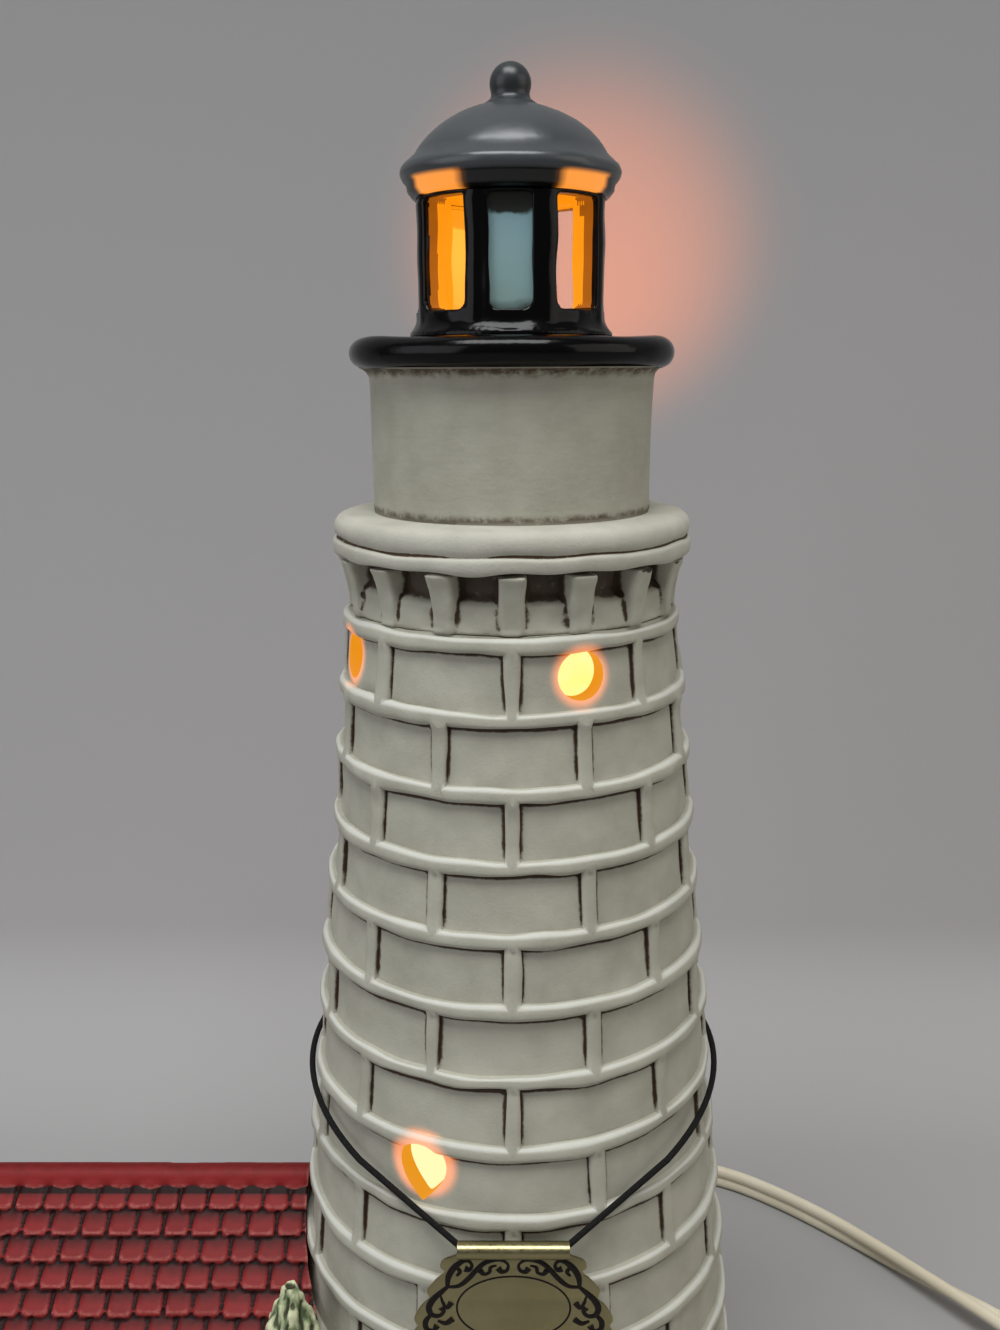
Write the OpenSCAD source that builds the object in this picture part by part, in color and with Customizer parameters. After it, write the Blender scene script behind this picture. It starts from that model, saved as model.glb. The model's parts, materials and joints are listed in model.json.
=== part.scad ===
// Lighthouse accent lamp in slip-cast ceramic, lit from inside by a clip-in candelabra bulb.
// Millimetres. The origin is the centre of the base's underside, +X is to the right of the
// viewer and -Y is towards the viewer. The keeper's house is on the left of the tower.

/* [Base] */
// Length of the rocky base, side to side
base_l = 154; // [150:1:190]
// Depth of the rocky base, front to back
base_w = 104; // [102:1:130]
// Height of the ground above the table
base_h = 17; // [16:0.5:22]
// Wall of the hollow base
base_wall = 5.5; // [4.5:0.5:7]
// Thickness of the ground slab
slab_t = 3; // [2.5:0.25:4]
// How far the edge of the ground lies inside the foot
bank = 3.2; // [2:0.2:4]
// Depth of the clefts in the rocky bank
cleft = 1.8; // [0.6:0.1:2]
// Radius of the light hole in the slab
light_hole_r = 14; // [13:0.25:16]
// Width of the notch that the lead leaves by
notch_w = 7; // [6:0.5:10]

/* [Tower] */
// Offset of the tower's axis from the centre of the base
tower_x = 28; // [24:0.5:30]
// Height of the tower's shaft
shaft_h = 151; // [140:0.5:160]
// Radius of the shaft over its top ring
tower_r = 26.65; // [26:0.05:28]
// Growth of the radius per millimetre of depth
taper = 0.095; // [0.08:0.005:0.1]
// Wall of the tower
wall_t = 3; // [2.4:0.2:4]
// Depth of the top ring below the top of the shaft
top_ring_drop = 1.4; // [1.3:0.1:2]
// Height of the top course of blocks
course_h = 10.65; // [8:0.05:12]
// How much taller each lower course is
course_step = 0.05; // [0:0.05:0.3]
// Width of a ring bead
ring_w = 2.5; // [2:0.1:3]
// How far a ring stands proud of the blocks
ring_proud = 1.2; // [0.8:0.1:1.4]
// Width of a rib between two blocks
rib_w = 2.5; // [1.6:0.1:3.2]
// How far a rib stands proud of the blocks
rib_proud = 0.9; // [0.5:0.1:1.1]
// Blocks in a course
bricks = 8; // [6:1:10]

/* [Light holes] */
// Radius of a round light hole
port_r = 3.6; // [2.5:0.1:4]
// Depth of the light holes below the top of the shaft
port_drop = 6; // [4:0.1:7]
// Number of round light holes
ports = 4; // [2:1:4]
// Radius of the low drop-shaped window
drop_r = 3.9; // [3:0.1:4.5]
// Height of the low window's centre above the ground
drop_z = 70.3; // [64:0.1:74]
// Bearing of the low window from the front, to the right
drop_a = -24.5; // [-30:0.5:-18]
// Length of the low window's tip, from its centre
drop_tip = 6; // [5.5:0.1:8]

/* [Gallery] */
// Height of the corbels
corbel_h = 8.6; // [7:0.1:10]
// Width of a corbel
corbel_w = 3.9; // [3:0.1:4.5]
// Number of corbels
corbels = 16; // [12:1:18]
// How far a corbel's foot stands out from the shaft
corbel_foot = 0.65; // [0.4:0.05:1]
// Depth of the recesses between the corbels
recess = 2; // [1:0.1:2.4]
// Radius of the gallery's fascia
gallery_r = 28; // [27.6:0.1:30]
// Height of the fascia
fascia_h = 2.7; // [2.5:0.1:4]
// Thickness of the rounded gallery rim
rim_t = 3.6; // [3.4:0.1:5.4]

/* [Watch room] */
// Radius of the watch room under its cove
watch_r = 21.7; // [21:0.1:23]
// Height of the watch room
watch_h = 21.6; // [18:0.1:26]
// Draft of the watch room's wall
watch_draft = 0.6; // [0:0.1:1]
// Radius of the cove under the upper gallery
cove_r = 1.8; // [1:0.1:2.2]

/* [Lantern] */
// Radius of the upper gallery disc
disc_r = 24.6; // [24:0.1:27]
// Thickness of the upper gallery disc
disc_t = 4.3; // [3.4:0.1:5]
// Radius of the lantern's wall
lantern_r = 14.2; // [13.6:0.1:15]
// Height of the lantern
lantern_h = 20; // [18:0.1:24]
// Height of the lantern's sill
sill_h = 3.7; // [3:0.1:5]
// Width of an open window
window_w = 8.2; // [7:0.1:8.6]
// Width of a blind window
blind_w = 6.2; // [5:0.1:7]
// How far a blind pane lies back from the wall
pane_back = 1.2; // [0.8:0.1:1.4]
// Thickness of a blind pane
pane_t = 1.5; // [1.2:0.1:1.6]
// Radius of the posts between the windows
post_r = 2.3; // [1.8:0.1:2.5]
// Radius of the dome's rounded rim
dome_rim_r = 16.3; // [16:0.1:18]
// Height of the dome above the lantern
dome_h = 13.2; // [11:0.1:15]
// Radius of the ball finial
ball_r = 3; // [2.6:0.1:3.4]

/* [House] */
// Distance from the tower's axis to the far gable
house_l = 90; // [80:1:92]
// Depth of the house, front to back
house_w = 38; // [30:1:40]
// Height of the ridge above the ground
ridge_h = 47.6; // [44:0.2:52]
// Pitch of the roof
pitch = 40; // [36:1:44]
// Thickness of the roof deck
deck_t = 2.4; // [2:0.1:3]
// Rows of shingles on a slope
shingle_rows = 7; // [6:1:8]
// Exposed height of a row of shingles
shingle_h = 4.23; // [4:0.05:4.6]
// Width of a shingle
shingle_w = 4.9; // [4:0.1:6]
// Thickness of a shingle
shingle_t = 1.2; // [0.9:0.1:1.5]
// Overhang of the roof past the far gable
verge = 3; // [2:0.5:4]
// Radius of the ridge tiles
ridge_tile_r = 2.6; // [2.2:0.1:3]
// Wall of the house
house_wall = 2.8; // [2.4:0.2:3.4]
// Distance of the first window from the far gable
first_bay = 10; // [8:0.5:12]
// Distance from the windows to the door between them
bay_step = 16; // [14:0.5:17]
// Width of a house window
house_window_w = 7; // [5:0.5:8]
// Height of a house window
house_window_h = 9; // [7:0.5:10]
// Width of the house door
door_w = 8; // [6:0.5:9]
// Height of the house door
door_h = 16; // [13:0.5:18]

// Height of the window sills over the ground
sill_up = 11; // [9:0.5:12]

/* [Bushes] */
// Radius of the bush between house and tower
left_bush_r = 10.5; // [8:0.5:11]
// Height of the bush between house and tower
left_bush_h = 44; // [30:1:48]
// Distance of that bush to the left of the tower's axis
left_bush_out = 36; // [34:0.5:40]
// Distance of that bush in front of the tower's axis
left_bush_front = 24; // [22:0.5:28]
// Radius of the bush on the right
right_bush_r = 9; // [6:0.5:10]
// Height of the bush on the right
right_bush_h = 29; // [20:1:36]
// Bearing of the right bush from the front of the tower
right_bush_a = 63; // [56:1:72]
// How far its middle stands inside the tower's foot
right_bush_in = 1; // [0:0.5:3]

/* [Light set] */
// Radius of the socket body
socket_r = 9.5; // [8.8:0.1:10]
// Length of the socket body
socket_h = 31; // [28:0.5:34]
// Height of the socket's underside above the table
socket_z = 5; // [3:0.5:7]
// Thickness of the clip's spring steel
clip_t = 0.5; // [0.4:0.05:0.8]
// Radius of the bulb's screw cap
cap_r = 5.9; // [5.6:0.05:6.1]
// Radius of the bulb's glass
bulb_r = 11; // [9:0.25:12]
// Length of the bulb's glass
bulb_l = 41; // [36:0.5:44]
// Wall of the bulb's glass
glass_t = 0.7; // [0.5:0.1:1]

/* [Hang tag] */
// Width of the tag's rolled top
tag_fold_w = 16.6; // [12:0.2:20]
// Height of the tag below its fold
tag_h = 25.5; // [22:0.5:30]
// Thickness of the brass sheet
tag_t = 0.5; // [0.4:0.05:0.8]
// Radius of the elastic cord
elastic_r = 0.5; // [0.4:0.05:0.7]
// Height of the tag's fold above the ground
tag_z = 60.5; // [56:0.5:64]
// Rise of the elastic round the back of the tower
elastic_rise = 16; // [10:0.5:26]
// Power of the elastic's way to the back: the lower, the sooner it rises
elastic_bend = 0.6; // [0.5:0.05:1]

/* [Switch and plug] */
// Length of the in-line switch
switch_l = 46; // [42:1:52]
// Width of the in-line switch
switch_w = 17; // [16:0.5:20]
// Height of the in-line switch
switch_h = 13; // [12:0.5:16]
// Radius of the switch wheel
wheel_r = 7.5; // [7:0.1:8.5]
// Thickness of the switch wheel
wheel_t = 3.4; // [2.6:0.1:4]
// Radius of the wheel's pin
pin_r = 1.5; // [1.2:0.1:2]
// Length of the plug's body
plug_l = 26; // [22:1:32]
// Width of the plug's body
plug_w = 22; // [20:0.5:26]
// Height of the plug's body
plug_h = 15; // [13:0.5:17]
// Distance between the centres of the blades
blade_gap = 12.7; // [12.7:0.1:12.9]

/* [Lead] */
// Width of the flat twin lead
lead_w = 5.4; // [5:0.1:6]
// Thickness of the flat twin lead
lead_t = 2.7; // [2.4:0.1:3]
// Distance from turn to turn in the coil
coil_step = 3.3; // [3.3:0.1:4]
// Distance from layer to layer in the coil
coil_lift = 6; // [6:0.1:7]
// Radius of the coil's innermost point
coil_in = 25; // [22:0.5:28]

/* [Hidden] */
$fn = 64;
over = 1;             // how far a cut runs past the face it opens
gap = 0.15;           // seating gap between two cast pieces
run_gap = 0.06;       // running clearance on a pin

// Levels of the tower, from the ground up
shaft_top = base_h + shaft_h;
corbel_top = shaft_top + corbel_h;
fascia_top = corbel_top + fascia_h;
gallery_top = fascia_top + 0.2 + rim_t;
watch_top = gallery_top + watch_h;
disc_top = watch_top + disc_t;
lantern_top = disc_top + lantern_h;
dome_top = lantern_top + dome_h;
slab_under = base_h - slab_t;

// Radii of the shaft: its ring crests, and the faces of its blocks
top_ring_z = shaft_top - top_ring_drop;
function crest_r(z) = tower_r + taper * (top_ring_z - z);
function face_r(z) = crest_r(z) - ring_proud;
function ring_z(i) = top_ring_z - i * course_h - course_step * i * (i - 1) / 2;
ring_count = len([for (i = [0 : 30]) if (ring_z(i) > base_h + ring_w) i]);
shaft_face = face_r(shaft_top);

// Bores that the light goes up through
recess_r = shaft_face - recess;
corbel_bore = recess_r - wall_t;
watch_bore = watch_r - watch_draft - wall_t;
lantern_bore = lantern_r - wall_t;

// The low window, from its bearing
drop_level = base_h + drop_z;

// House levels
house_x0 = tower_x - house_l;
roof_x0 = house_x0 - verge;
ridge_z = base_h + ridge_h;
ridge_band = ridge_tile_r;
slope_l = ridge_band + shingle_rows * shingle_h;
eave_y = slope_l * cos(pitch);
deck_v = deck_t / cos(pitch);
roof_l = house_l + verge;

// Light set levels
socket_top = socket_z + socket_h;
shell_bore = cap_r + 0.3;
cap_z = socket_z + 14;
glass_z = socket_top + 0.4;
flange_z = slab_under - gap;

// The tag's fold and the plane of its plate
lean = atan(taper);
fold_r = 1.3;
fold_z = base_h + tag_z;
fold_y = crest_r(fold_z) + fold_r + 0.35;

// The switch, the coil and the plug on the table
switch_x = 136;
switch_y = -4;
coil_turns = 7.25;
coil_out = coil_in + coil_step * coil_turns / 2;
coil_x = switch_x - coil_out;
coil_y = -57;
tail_y = coil_y - coil_out;
plug_x = coil_x - 26;
plug_z = plug_h / 2;

// Puts a piece that is drawn along +X at a bearing from the front of the tower
module at_bearing(a) {
    translate([tower_x, 0, 0]) rotate(a - 90) children();
}

module on_axis(z = 0) {
    translate([tower_x, 0, z]) children();
}

// A slice of the tower's own cone, grown or shrunk by a radius
module cone_slice(z1, z2, grow) {
    on_axis(z1) cylinder(h = z2 - z1, r1 = face_r(z1) + grow, r2 = face_r(z2) + grow);
}

// Room that neighbours of the shaft leave for it and for its rings
module shaft_room() {
    cone_slice(base_h - over, shaft_top, ring_proud + gap);
}

// One point of the rocky outline at a bearing and a level from 0 at the foot to 1 at the ground
function rock(a, level, half) =
    half - bank * level
    - cleft * sin(180 * level) * (1 + sin(7 * a + 200 * level) * sin(17 * a - 90 * level)) / 2;
rock_sides = 72;
rock_levels = [-0.1, 0, 0.2, 0.42, 0.62, 0.82, 1];
function rock_ring(level) = [for (k = [0 : rock_sides - 1])
    let (a = 360 * k / rock_sides, in = max(level, 0))
    [rock(a, in, base_l / 2) * cos(a), rock(a, in, base_w / 2) * sin(a), base_h * level]];

// Faces of a closed skin over stacked rings of equal count, capped at both ends
function skin_faces(rings, sides) = concat(
    [for (j = [0 : rings - 2], k = [0 : sides - 1]) let (n = (k + 1) % sides)
        each [[j * sides + k, (j + 1) * sides + k, (j + 1) * sides + n],
              [j * sides + k, (j + 1) * sides + n, j * sides + n]]],
    [[for (k = [0 : sides - 1]) k]],
    [[for (k = [sides - 1 : -1 : 0]) (rings - 1) * sides + k]]);

function oval(half_x, half_y) = [for (k = [0 : rock_sides - 1])
    let (a = 360 * k / rock_sides) [half_x * cos(a), half_y * sin(a)]];

// Rocky island with a hollow underside, a light hole and a notch for the lead
module rocky_base() {
    color("#7d776a") difference() {
        polyhedron(points = [for (level = rock_levels) each rock_ring(level)],
                   faces = skin_faces(len(rock_levels), rock_sides));
        translate([-base_l, -base_w, -2 * base_h]) cube([2 * base_l, 2 * base_w, 2 * base_h]);
        translate([0, 0, -over]) linear_extrude(slab_under + over)
            polygon(oval(base_l / 2 - base_wall, base_w / 2 - base_wall));
        on_axis(slab_under - over) cylinder(h = slab_t + 2 * over, r = light_hole_r);
        on_axis(notch_w / 2) rotate([-90, 0, 0]) cylinder(h = base_w, r = notch_w / 2);
        on_axis(-over) translate([-notch_w / 2, 0, 0]) cube([notch_w, base_w, notch_w / 2 + over]);
    }
}

// A bead round the shaft
module ring(i) {
    bead = ring_w / 2;
    on_axis(ring_z(i)) rotate_extrude() translate([crest_r(ring_z(i)) - bead, 0]) circle(bead);
}

// A rib between the blocks of the course under ring i
module rib(i, a) {
    z1 = max(ring_z(i + 1), base_h);
    z2 = ring_z(i);
    at_bearing(a) rotate([90, 0, 0]) linear_extrude(rib_w, center = true)
        polygon([[face_r(z1) - 1, z1], [face_r(z1) + rib_proud, z1],
                 [face_r(z2) + rib_proud, z2], [face_r(z2) - 1, z2]]);
}

// True where the low window takes the place of a rib
function rib_is_cut(i, a) = abs(a - drop_a) < 12
    && drop_level < ring_z(i) && drop_level > ring_z(i + 1);

function course_bearings(i) = [for (k = [0 : bricks - 1])
    let (a = (k + (i % 2) / 2) * 360 / bricks) a > 180 ? a - 360 : a];

module port_cut(a, z, r) {
    at_bearing(a) translate([0, 0, z]) rotate([0, 90, 0]) cylinder(h = 2 * tower_r, r = r);
}

// A drop: a round window with a tip that points down
module drop_cut() {
    tangent = acos(drop_r / drop_tip);
    port_cut(drop_a, drop_level, drop_r);
    at_bearing(drop_a) translate([0, 0, drop_level]) rotate([90, 0, 90]) linear_extrude(2 * tower_r)
        polygon([[0, 0], [-drop_r * sin(tangent), -drop_r * cos(tangent)], [0, -drop_tip],
                 [drop_r * sin(tangent), -drop_r * cos(tangent)]]);
}

// Tapered shaft with courses of raised-edge blocks, hollow from end to end
module tower_shaft() {
    color("#cfcdbe") difference() {
        union() {
            cone_slice(base_h, shaft_top, 0);
            for (i = [0 : ring_count - 1]) ring(i);
            for (i = [0 : ring_count - 1])
                for (a = course_bearings(i))
                    if (!rib_is_cut(i, a)) rib(i, a);
        }
        cone_slice(base_h - over, shaft_top + over, -wall_t);
        for (k = [0 : ports - 1])
            port_cut(22.5 + k * 360 / ports, shaft_top - port_drop, port_r);
        drop_cut();
    }
}

// A corbel's side, swept out towards the gallery
module corbel() {
    foot = shaft_face + corbel_foot;
    head = gallery_r - 0.4;
    side = [for (t = [0.08 : 0.115 : 1]) [foot + (head - foot) * t * t, shaft_top + t * corbel_h]];
    rotate([90, 0, 0]) linear_extrude(corbel_w, center = true)
        polygon(concat([[recess_r - 1, shaft_top], [foot - 0.4, shaft_top]], side,
                       [[recess_r - 1, corbel_top]]));
}

// Ring of corbels with deep recesses between them
module corbel_course() {
    step_z = shaft_top + corbel_h * 0.48;
    color("#c9c6b5") union() {
        on_axis() rotate_extrude() polygon([[corbel_bore, shaft_top], [shaft_face, shaft_top],
            [shaft_face - 0.5, step_z], [recess_r, step_z + 1], [recess_r, corbel_top],
            [corbel_bore, corbel_top]]);
        for (k = [0 : corbels - 1]) at_bearing(k * 360 / corbels) corbel();
    }
}

// Fascia and rounded rim of the lower gallery
module lower_gallery() {
    rim = rim_t / 2;
    rim_c = gallery_r - 0.3 - rim;
    color("#d2d0c2") difference() {
        union() {
            on_axis() rotate_extrude() polygon([[0, corbel_top], [gallery_r - 0.4, corbel_top],
                [gallery_r, corbel_top + 0.6], [gallery_r, fascia_top - 0.4],
                [gallery_r - 0.6, fascia_top], [0, fascia_top]]);
            on_axis(fascia_top - over) cylinder(h = gallery_top - fascia_top + over, r = rim_c);
            on_axis(gallery_top - rim) rotate_extrude() translate([rim_c, 0]) circle(rim);
        }
        on_axis(corbel_top - over)
            cylinder(h = gallery_top - corbel_top + 2 * over, r = watch_bore);
    }
}

// Plain drum under the black gallery, with a cove at its top
module watch_room() {
    cove = [for (a = [180 : -15 : 90])
        [watch_r + cove_r + cove_r * cos(a), watch_top - cove_r + cove_r * sin(a)]];
    color("#cfcdbe") on_axis() rotate_extrude()
        polygon(concat([[watch_bore, gallery_top], [watch_r - watch_draft, gallery_top]], cove,
                       [[watch_bore, watch_top]]));
}

// Black gallery disc with a rounded edge
module upper_gallery() {
    edge = disc_t / 2;
    color("#15161a") difference() {
        union() {
            on_axis(watch_top) cylinder(h = disc_t, r = disc_r - edge);
            on_axis(watch_top + edge) rotate_extrude() translate([disc_r - edge, 0]) circle(edge);
        }
        on_axis(watch_top - over) cylinder(h = disc_t + 2 * over, r = lantern_bore);
    }
}

open_bays = [45, 135, 315];
blind_bays = [0, 90, 180, 225, 270];

// A window through the lantern's wall with rounded lower corners
module bay_cut(a, w, lift = 0) {
    corner = 1.4;
    sill = disc_top + sill_h + lift;
    height = lantern_top - sill + over;
    at_bearing(a) translate([lantern_r / 2, 0, sill]) {
        translate([0, corner - w / 2, 0]) cube([lantern_r, w - 2 * corner, height]);
        translate([0, -w / 2, corner]) cube([lantern_r, w, height - corner]);
        for (s = [-1, 1])
            translate([0, s * (w / 2 - corner), corner]) rotate([0, 90, 0])
                cylinder(h = lantern_r, r = corner);
    }
}

// Lantern with a flared foot and eight bays between fat rounded posts
module lantern_room() {
    flare = 1.2;
    color("#15161a") difference() {
        union() {
            on_axis() rotate_extrude() polygon([[lantern_bore, disc_top],
                [lantern_r + flare, disc_top], [lantern_r + flare, disc_top + 0.8],
                [lantern_r, disc_top + 0.8 + flare], [lantern_r, lantern_top],
                [lantern_bore, lantern_top]]);
            for (k = [0 : 7])
                at_bearing(22.5 + 45 * k) translate([lantern_r + 0.3 - post_r, 0, disc_top + 1])
                    cylinder(h = lantern_h - 1, r = post_r);
        }
        for (a = open_bays) bay_cut(a, window_w);
        for (a = blind_bays) bay_cut(a, blind_w);
    }
}

// Blind panes set back between the posts
module blind_panes() {
    sill = disc_top + sill_h + gap;
    outer = lantern_r - pane_back;
    color("#6f8488") for (a = blind_bays) intersection() {
        on_axis(sill) difference() {
            cylinder(h = lantern_top - sill - gap, r = outer);
            translate([0, 0, -over]) cylinder(h = lantern_h + over, r = outer - pane_t);
        }
        bay_cut(a, blind_w - 2 * gap, gap);
    }
}

// Grey dome with a rounded rim, hollow inside
module lantern_dome() {
    rim = 1.6;
    spring = lantern_top + 2;
    half_w = dome_rim_r - 1.1;
    half_h = dome_h - 2;
    seat = dome_top - spring - 0.6;
    first = 14;
    last = asin(seat / half_h);
    skin = [for (k = [0 : 10]) let (t = first + (last - first) * k / 10)
        [half_w * cos(t), spring + half_h * sin(t)]];
    lining = [for (k = [10 : -1 : 0]) let (t = 90 * k / 10)
        [(half_w - wall_t) * cos(t), spring + (half_h - wall_t) * sin(t)]];
    color("#6c7072") union() {
        on_axis() rotate_extrude() polygon(concat(
            [[lantern_bore, lantern_top], [lantern_r + 0.4, lantern_top],
             [dome_rim_r - 0.5, spring + 0.4]], skin, [[0, spring + seat]], lining));
        on_axis(spring + 1.3) rotate_extrude() translate([dome_rim_r - rim, 0]) circle(rim);
    }
}

// Ball on a short flared neck
module ball_finial() {
    seat = dome_top - 0.6;
    color("#6c7072") on_axis() union() {
        rotate_extrude() polygon([[0, seat], [4.7, seat], [4.3, seat + 0.5], [3.2, seat + 0.9],
            [2.6, seat + 1.5], [2.3, seat + 2.6], [0, seat + 2.6]]);
        translate([0, 0, seat + 2.9]) sphere(ball_r);
    }
}

// The roof's outline across the house: its underside at drop 0 lies on the walls
function gable(y, z0, drop, half_y) = [[-half_y, z0], [half_y, z0],
    [half_y, ridge_z - deck_v - drop - half_y * tan(pitch)], [0, ridge_z - deck_v - drop],
    [-half_y, ridge_z - deck_v - drop - half_y * tan(pitch)]];

// Draws an outline of Y and Z and runs it along X
module along_x(x0, length) {
    translate([x0, 0, 0]) rotate([90, 0, 90]) linear_extrude(length) children();
}

house_bays = [for (k = [0 : 2]) house_x0 + first_bay + k * bay_step];   // window, door and window
house_sill = base_h + sill_up;

// Cuts for the windows and the door in the walls
module house_opening(x, y, w, h, z) {
    translate([x - w / 2, y - house_wall - over, z]) cube([w, 2 * house_wall + 2 * over, h]);
}

module house_walls() {
    half = house_w / 2;
    color("#b9b3a0") difference() {
        along_x(house_x0, house_l) polygon(gable(0, base_h, gap, half));
        along_x(house_x0 + house_wall, house_l)
            polygon(gable(0, base_h - over, gap + house_wall, half - house_wall));
        shaft_room();
        for (s = [-1, 1], x = [house_bays[0], house_bays[2]])
            house_opening(x, s * half, house_window_w, house_window_h, house_sill);
        house_opening(house_bays[1], -half, door_w, door_h, base_h - over);
        translate([house_x0 - over, -house_window_w / 2, house_sill])
            cube([house_wall + 2 * over, house_window_w, house_window_h]);
    }
}

// One sash: frame, glazing bars and a thin pane, drawn in X and Z
module sash(w, h) {
    bar = 0.9;
    depth = house_wall * 0.6;
    difference() {
        translate([-w / 2, -depth / 2, 0]) cube([w, depth, h]);
        for (s = [0, 1], t = [0, 1])
            translate([-w / 2 + bar + s * (w - bar) / 2, -depth / 2 - over, bar + t * (h - bar) / 2])
                cube([(w - 3 * bar) / 2, over + depth * 0.6, (h - 3 * bar) / 2]);
    }
}

module house_windows() {
    half = house_w / 2 - house_wall / 2;
    w = house_window_w - 2 * gap;
    h = house_window_h - 2 * gap;
    color("#d8c27a") union() {
        for (x = [house_bays[0], house_bays[2]]) {
            translate([x, -half, house_sill + gap]) sash(w, h);
            translate([x, half, house_sill + gap]) rotate(180) sash(w, h);
        }
        translate([house_x0 + house_wall / 2, 0, house_sill + gap]) rotate(-90) sash(w, h);
    }
}

// Boarded door with two sunk panels
module house_door() {
    w = door_w - 2 * gap;
    h = door_h - over - 2 * gap;
    depth = house_wall * 0.6;
    color("#5f4633") translate([house_bays[1], -house_w / 2 + house_wall / 2, base_h])
        difference() {
            translate([-w / 2, -depth / 2, 0]) cube([w, depth, h]);
            for (t = [0, 1])
                translate([-w / 2 + 1.4, -depth / 2 - over, 1.4 + t * (h - 1.4) / 2])
                    cube([w - 2.8, over + 0.5, (h - 4.2) / 2]);
        }
}

// Lower edges of one row of shingles, with a slot between neighbours
tilt = 11;       // how far a shingle leans off the deck
lap = 1;         // how far it runs up under the next row
sunk = 0.15;     // how deep its lip is bedded
function row_joints(k) = [for (j = [0 : 60]) let (x = (j + (k % 2) / 2) * shingle_w)
    if (x < roof_l - 1) x];
module shingle_row(k) {
    slot = 0.55;
    joints = concat([for (x = row_joints(k)) if (x > 1) x], [roof_l]);
    starts = concat([0], [for (x = row_joints(k)) if (x > 1) x]);
    tabs = [for (j = [0 : len(starts) - 1])
        let (dip = 0.3 * sin(97 * j + 41 * k))
        each [[starts[j] + slot / 2, shingle_h - 0.4], [starts[j] + slot / 2, dip + 0.5],
              [starts[j] + slot / 2 + 0.5, dip], [joints[j] - slot / 2 - 0.5, dip],
              [joints[j] - slot / 2, dip + 0.5], [joints[j] - slot / 2, shingle_h - 0.4]]];
    translate([0, -ridge_band - (k + 1) * shingle_h, -sunk]) rotate([-tilt, 0, 0])
        linear_extrude(shingle_t)
            polygon(concat([[0, shingle_h + lap]], tabs, [[roof_l, shingle_h + lap]]));
}

// The whole roof's block, that neighbours keep clear of
module roof_room(grow) {
    up = grow / cos(pitch);
    half = eave_y + 1 + grow;
    along_x(roof_x0, roof_l) polygon([[0, ridge_z + up], [half, ridge_z + up - half * tan(pitch)],
        [half, ridge_z - deck_v - half * tan(pitch) - grow], [0, base_h],
        [-half, ridge_z - deck_v - half * tan(pitch) - grow],
        [-half, ridge_z + up - half * tan(pitch)]]);
}

// Deck with staggered rows of shingles on both slopes
module house_roof() {
    color("#a23a36") difference() {
        union() {
            along_x(roof_x0, roof_l) polygon([[0, ridge_z], [eave_y, ridge_z - eave_y * tan(pitch)],
                [eave_y, ridge_z - deck_v - eave_y * tan(pitch)], [0, ridge_z - deck_v],
                [-eave_y, ridge_z - deck_v - eave_y * tan(pitch)],
                [-eave_y, ridge_z - eave_y * tan(pitch)]]);
            for (m = [0, 1]) mirror([0, m, 0])
                translate([roof_x0, 0, ridge_z]) rotate([pitch, 0, 0])
                    for (k = [0 : shingle_rows - 1]) shingle_row(k);
        }
        shaft_room();
    }
}

// Rounded ridge tiles, each with a collar over the next
module ridge_tiles() {
    pieces = floor(roof_l / shingle_w);
    pitch_l = roof_l / pieces;
    collar = 0.3;
    color("#a8443e") difference() {
        for (k = [0 : pieces - 1]) translate([roof_x0 + k * pitch_l, 0, ridge_z - ridge_tile_r / 2])
            rotate([0, 90, 0]) {
                cylinder(h = pitch_l + 0.05, r = ridge_tile_r);
                cylinder(h = pitch_l * 0.3, r = ridge_tile_r + collar);
            }
        along_x(roof_x0 - over, roof_l + 2 * over) polygon([[0, ridge_z + 0.1],
            [eave_y, ridge_z + 0.1 - eave_y * tan(pitch)], [eave_y, base_h], [-eave_y, base_h],
            [-eave_y, ridge_z + 0.1 - eave_y * tan(pitch)]]);
        for (m = [0, 1]) mirror([0, m, 0])
            translate([roof_x0 - over, 0, ridge_z]) rotate([pitch, 0, 0])
                translate([0, -ridge_band - shingle_h, -sunk]) rotate([-tilt, 0, 0])
                    translate([0, 0, -over])
                        cube([roof_l + 2 * over, shingle_h + lap + gap, over + shingle_t + gap]);
        shaft_room();
    }
}

// A clipped bush: a lumpy cone that stands on the ground
shrub_sides = 16;
function shrub_ring(r, h, t, turn) = [for (k = [0 : shrub_sides - 1])
    let (a = 360 * k / shrub_sides,
         lump = 1 + 0.1 * sin(4 * a + 500 * t + turn) + 0.07 * sin(7 * a - 800 * t),
         reach = r * lump * pow(1 - 0.98 * t, 0.55))
    [reach * cos(a), reach * sin(a), h * t]];
module shrub(r, h, turn) {
    levels = [-0.05, for (t = [0.1 : 0.15 : 1]) t];
    difference() {
        polyhedron(points = [for (t = levels) each shrub_ring(r, h, t, turn)],
                   faces = skin_faces(len(levels), shrub_sides));
        translate([-2 * r, -2 * r, -h]) cube([4 * r, 4 * r, h]);
    }
}

module shrub_left() {
    color("#8a9a72") difference() {
        translate([tower_x - left_bush_out, -left_bush_front, base_h])
            shrub(left_bush_r, left_bush_h, 20);
        shaft_room();
        roof_room(shingle_t + gap);
        along_x(house_x0, house_l) polygon(gable(0, base_h - over, 0, house_w / 2 + gap));
    }
}

module shrub_right() {
    out = crest_r(base_h) - right_bush_in;
    color("#5f7048") difference() {
        translate([tower_x + out * sin(right_bush_a), -out * cos(right_bush_a), base_h])
            shrub(right_bush_r, right_bush_h, 75);
        shaft_room();
    }
}

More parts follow.
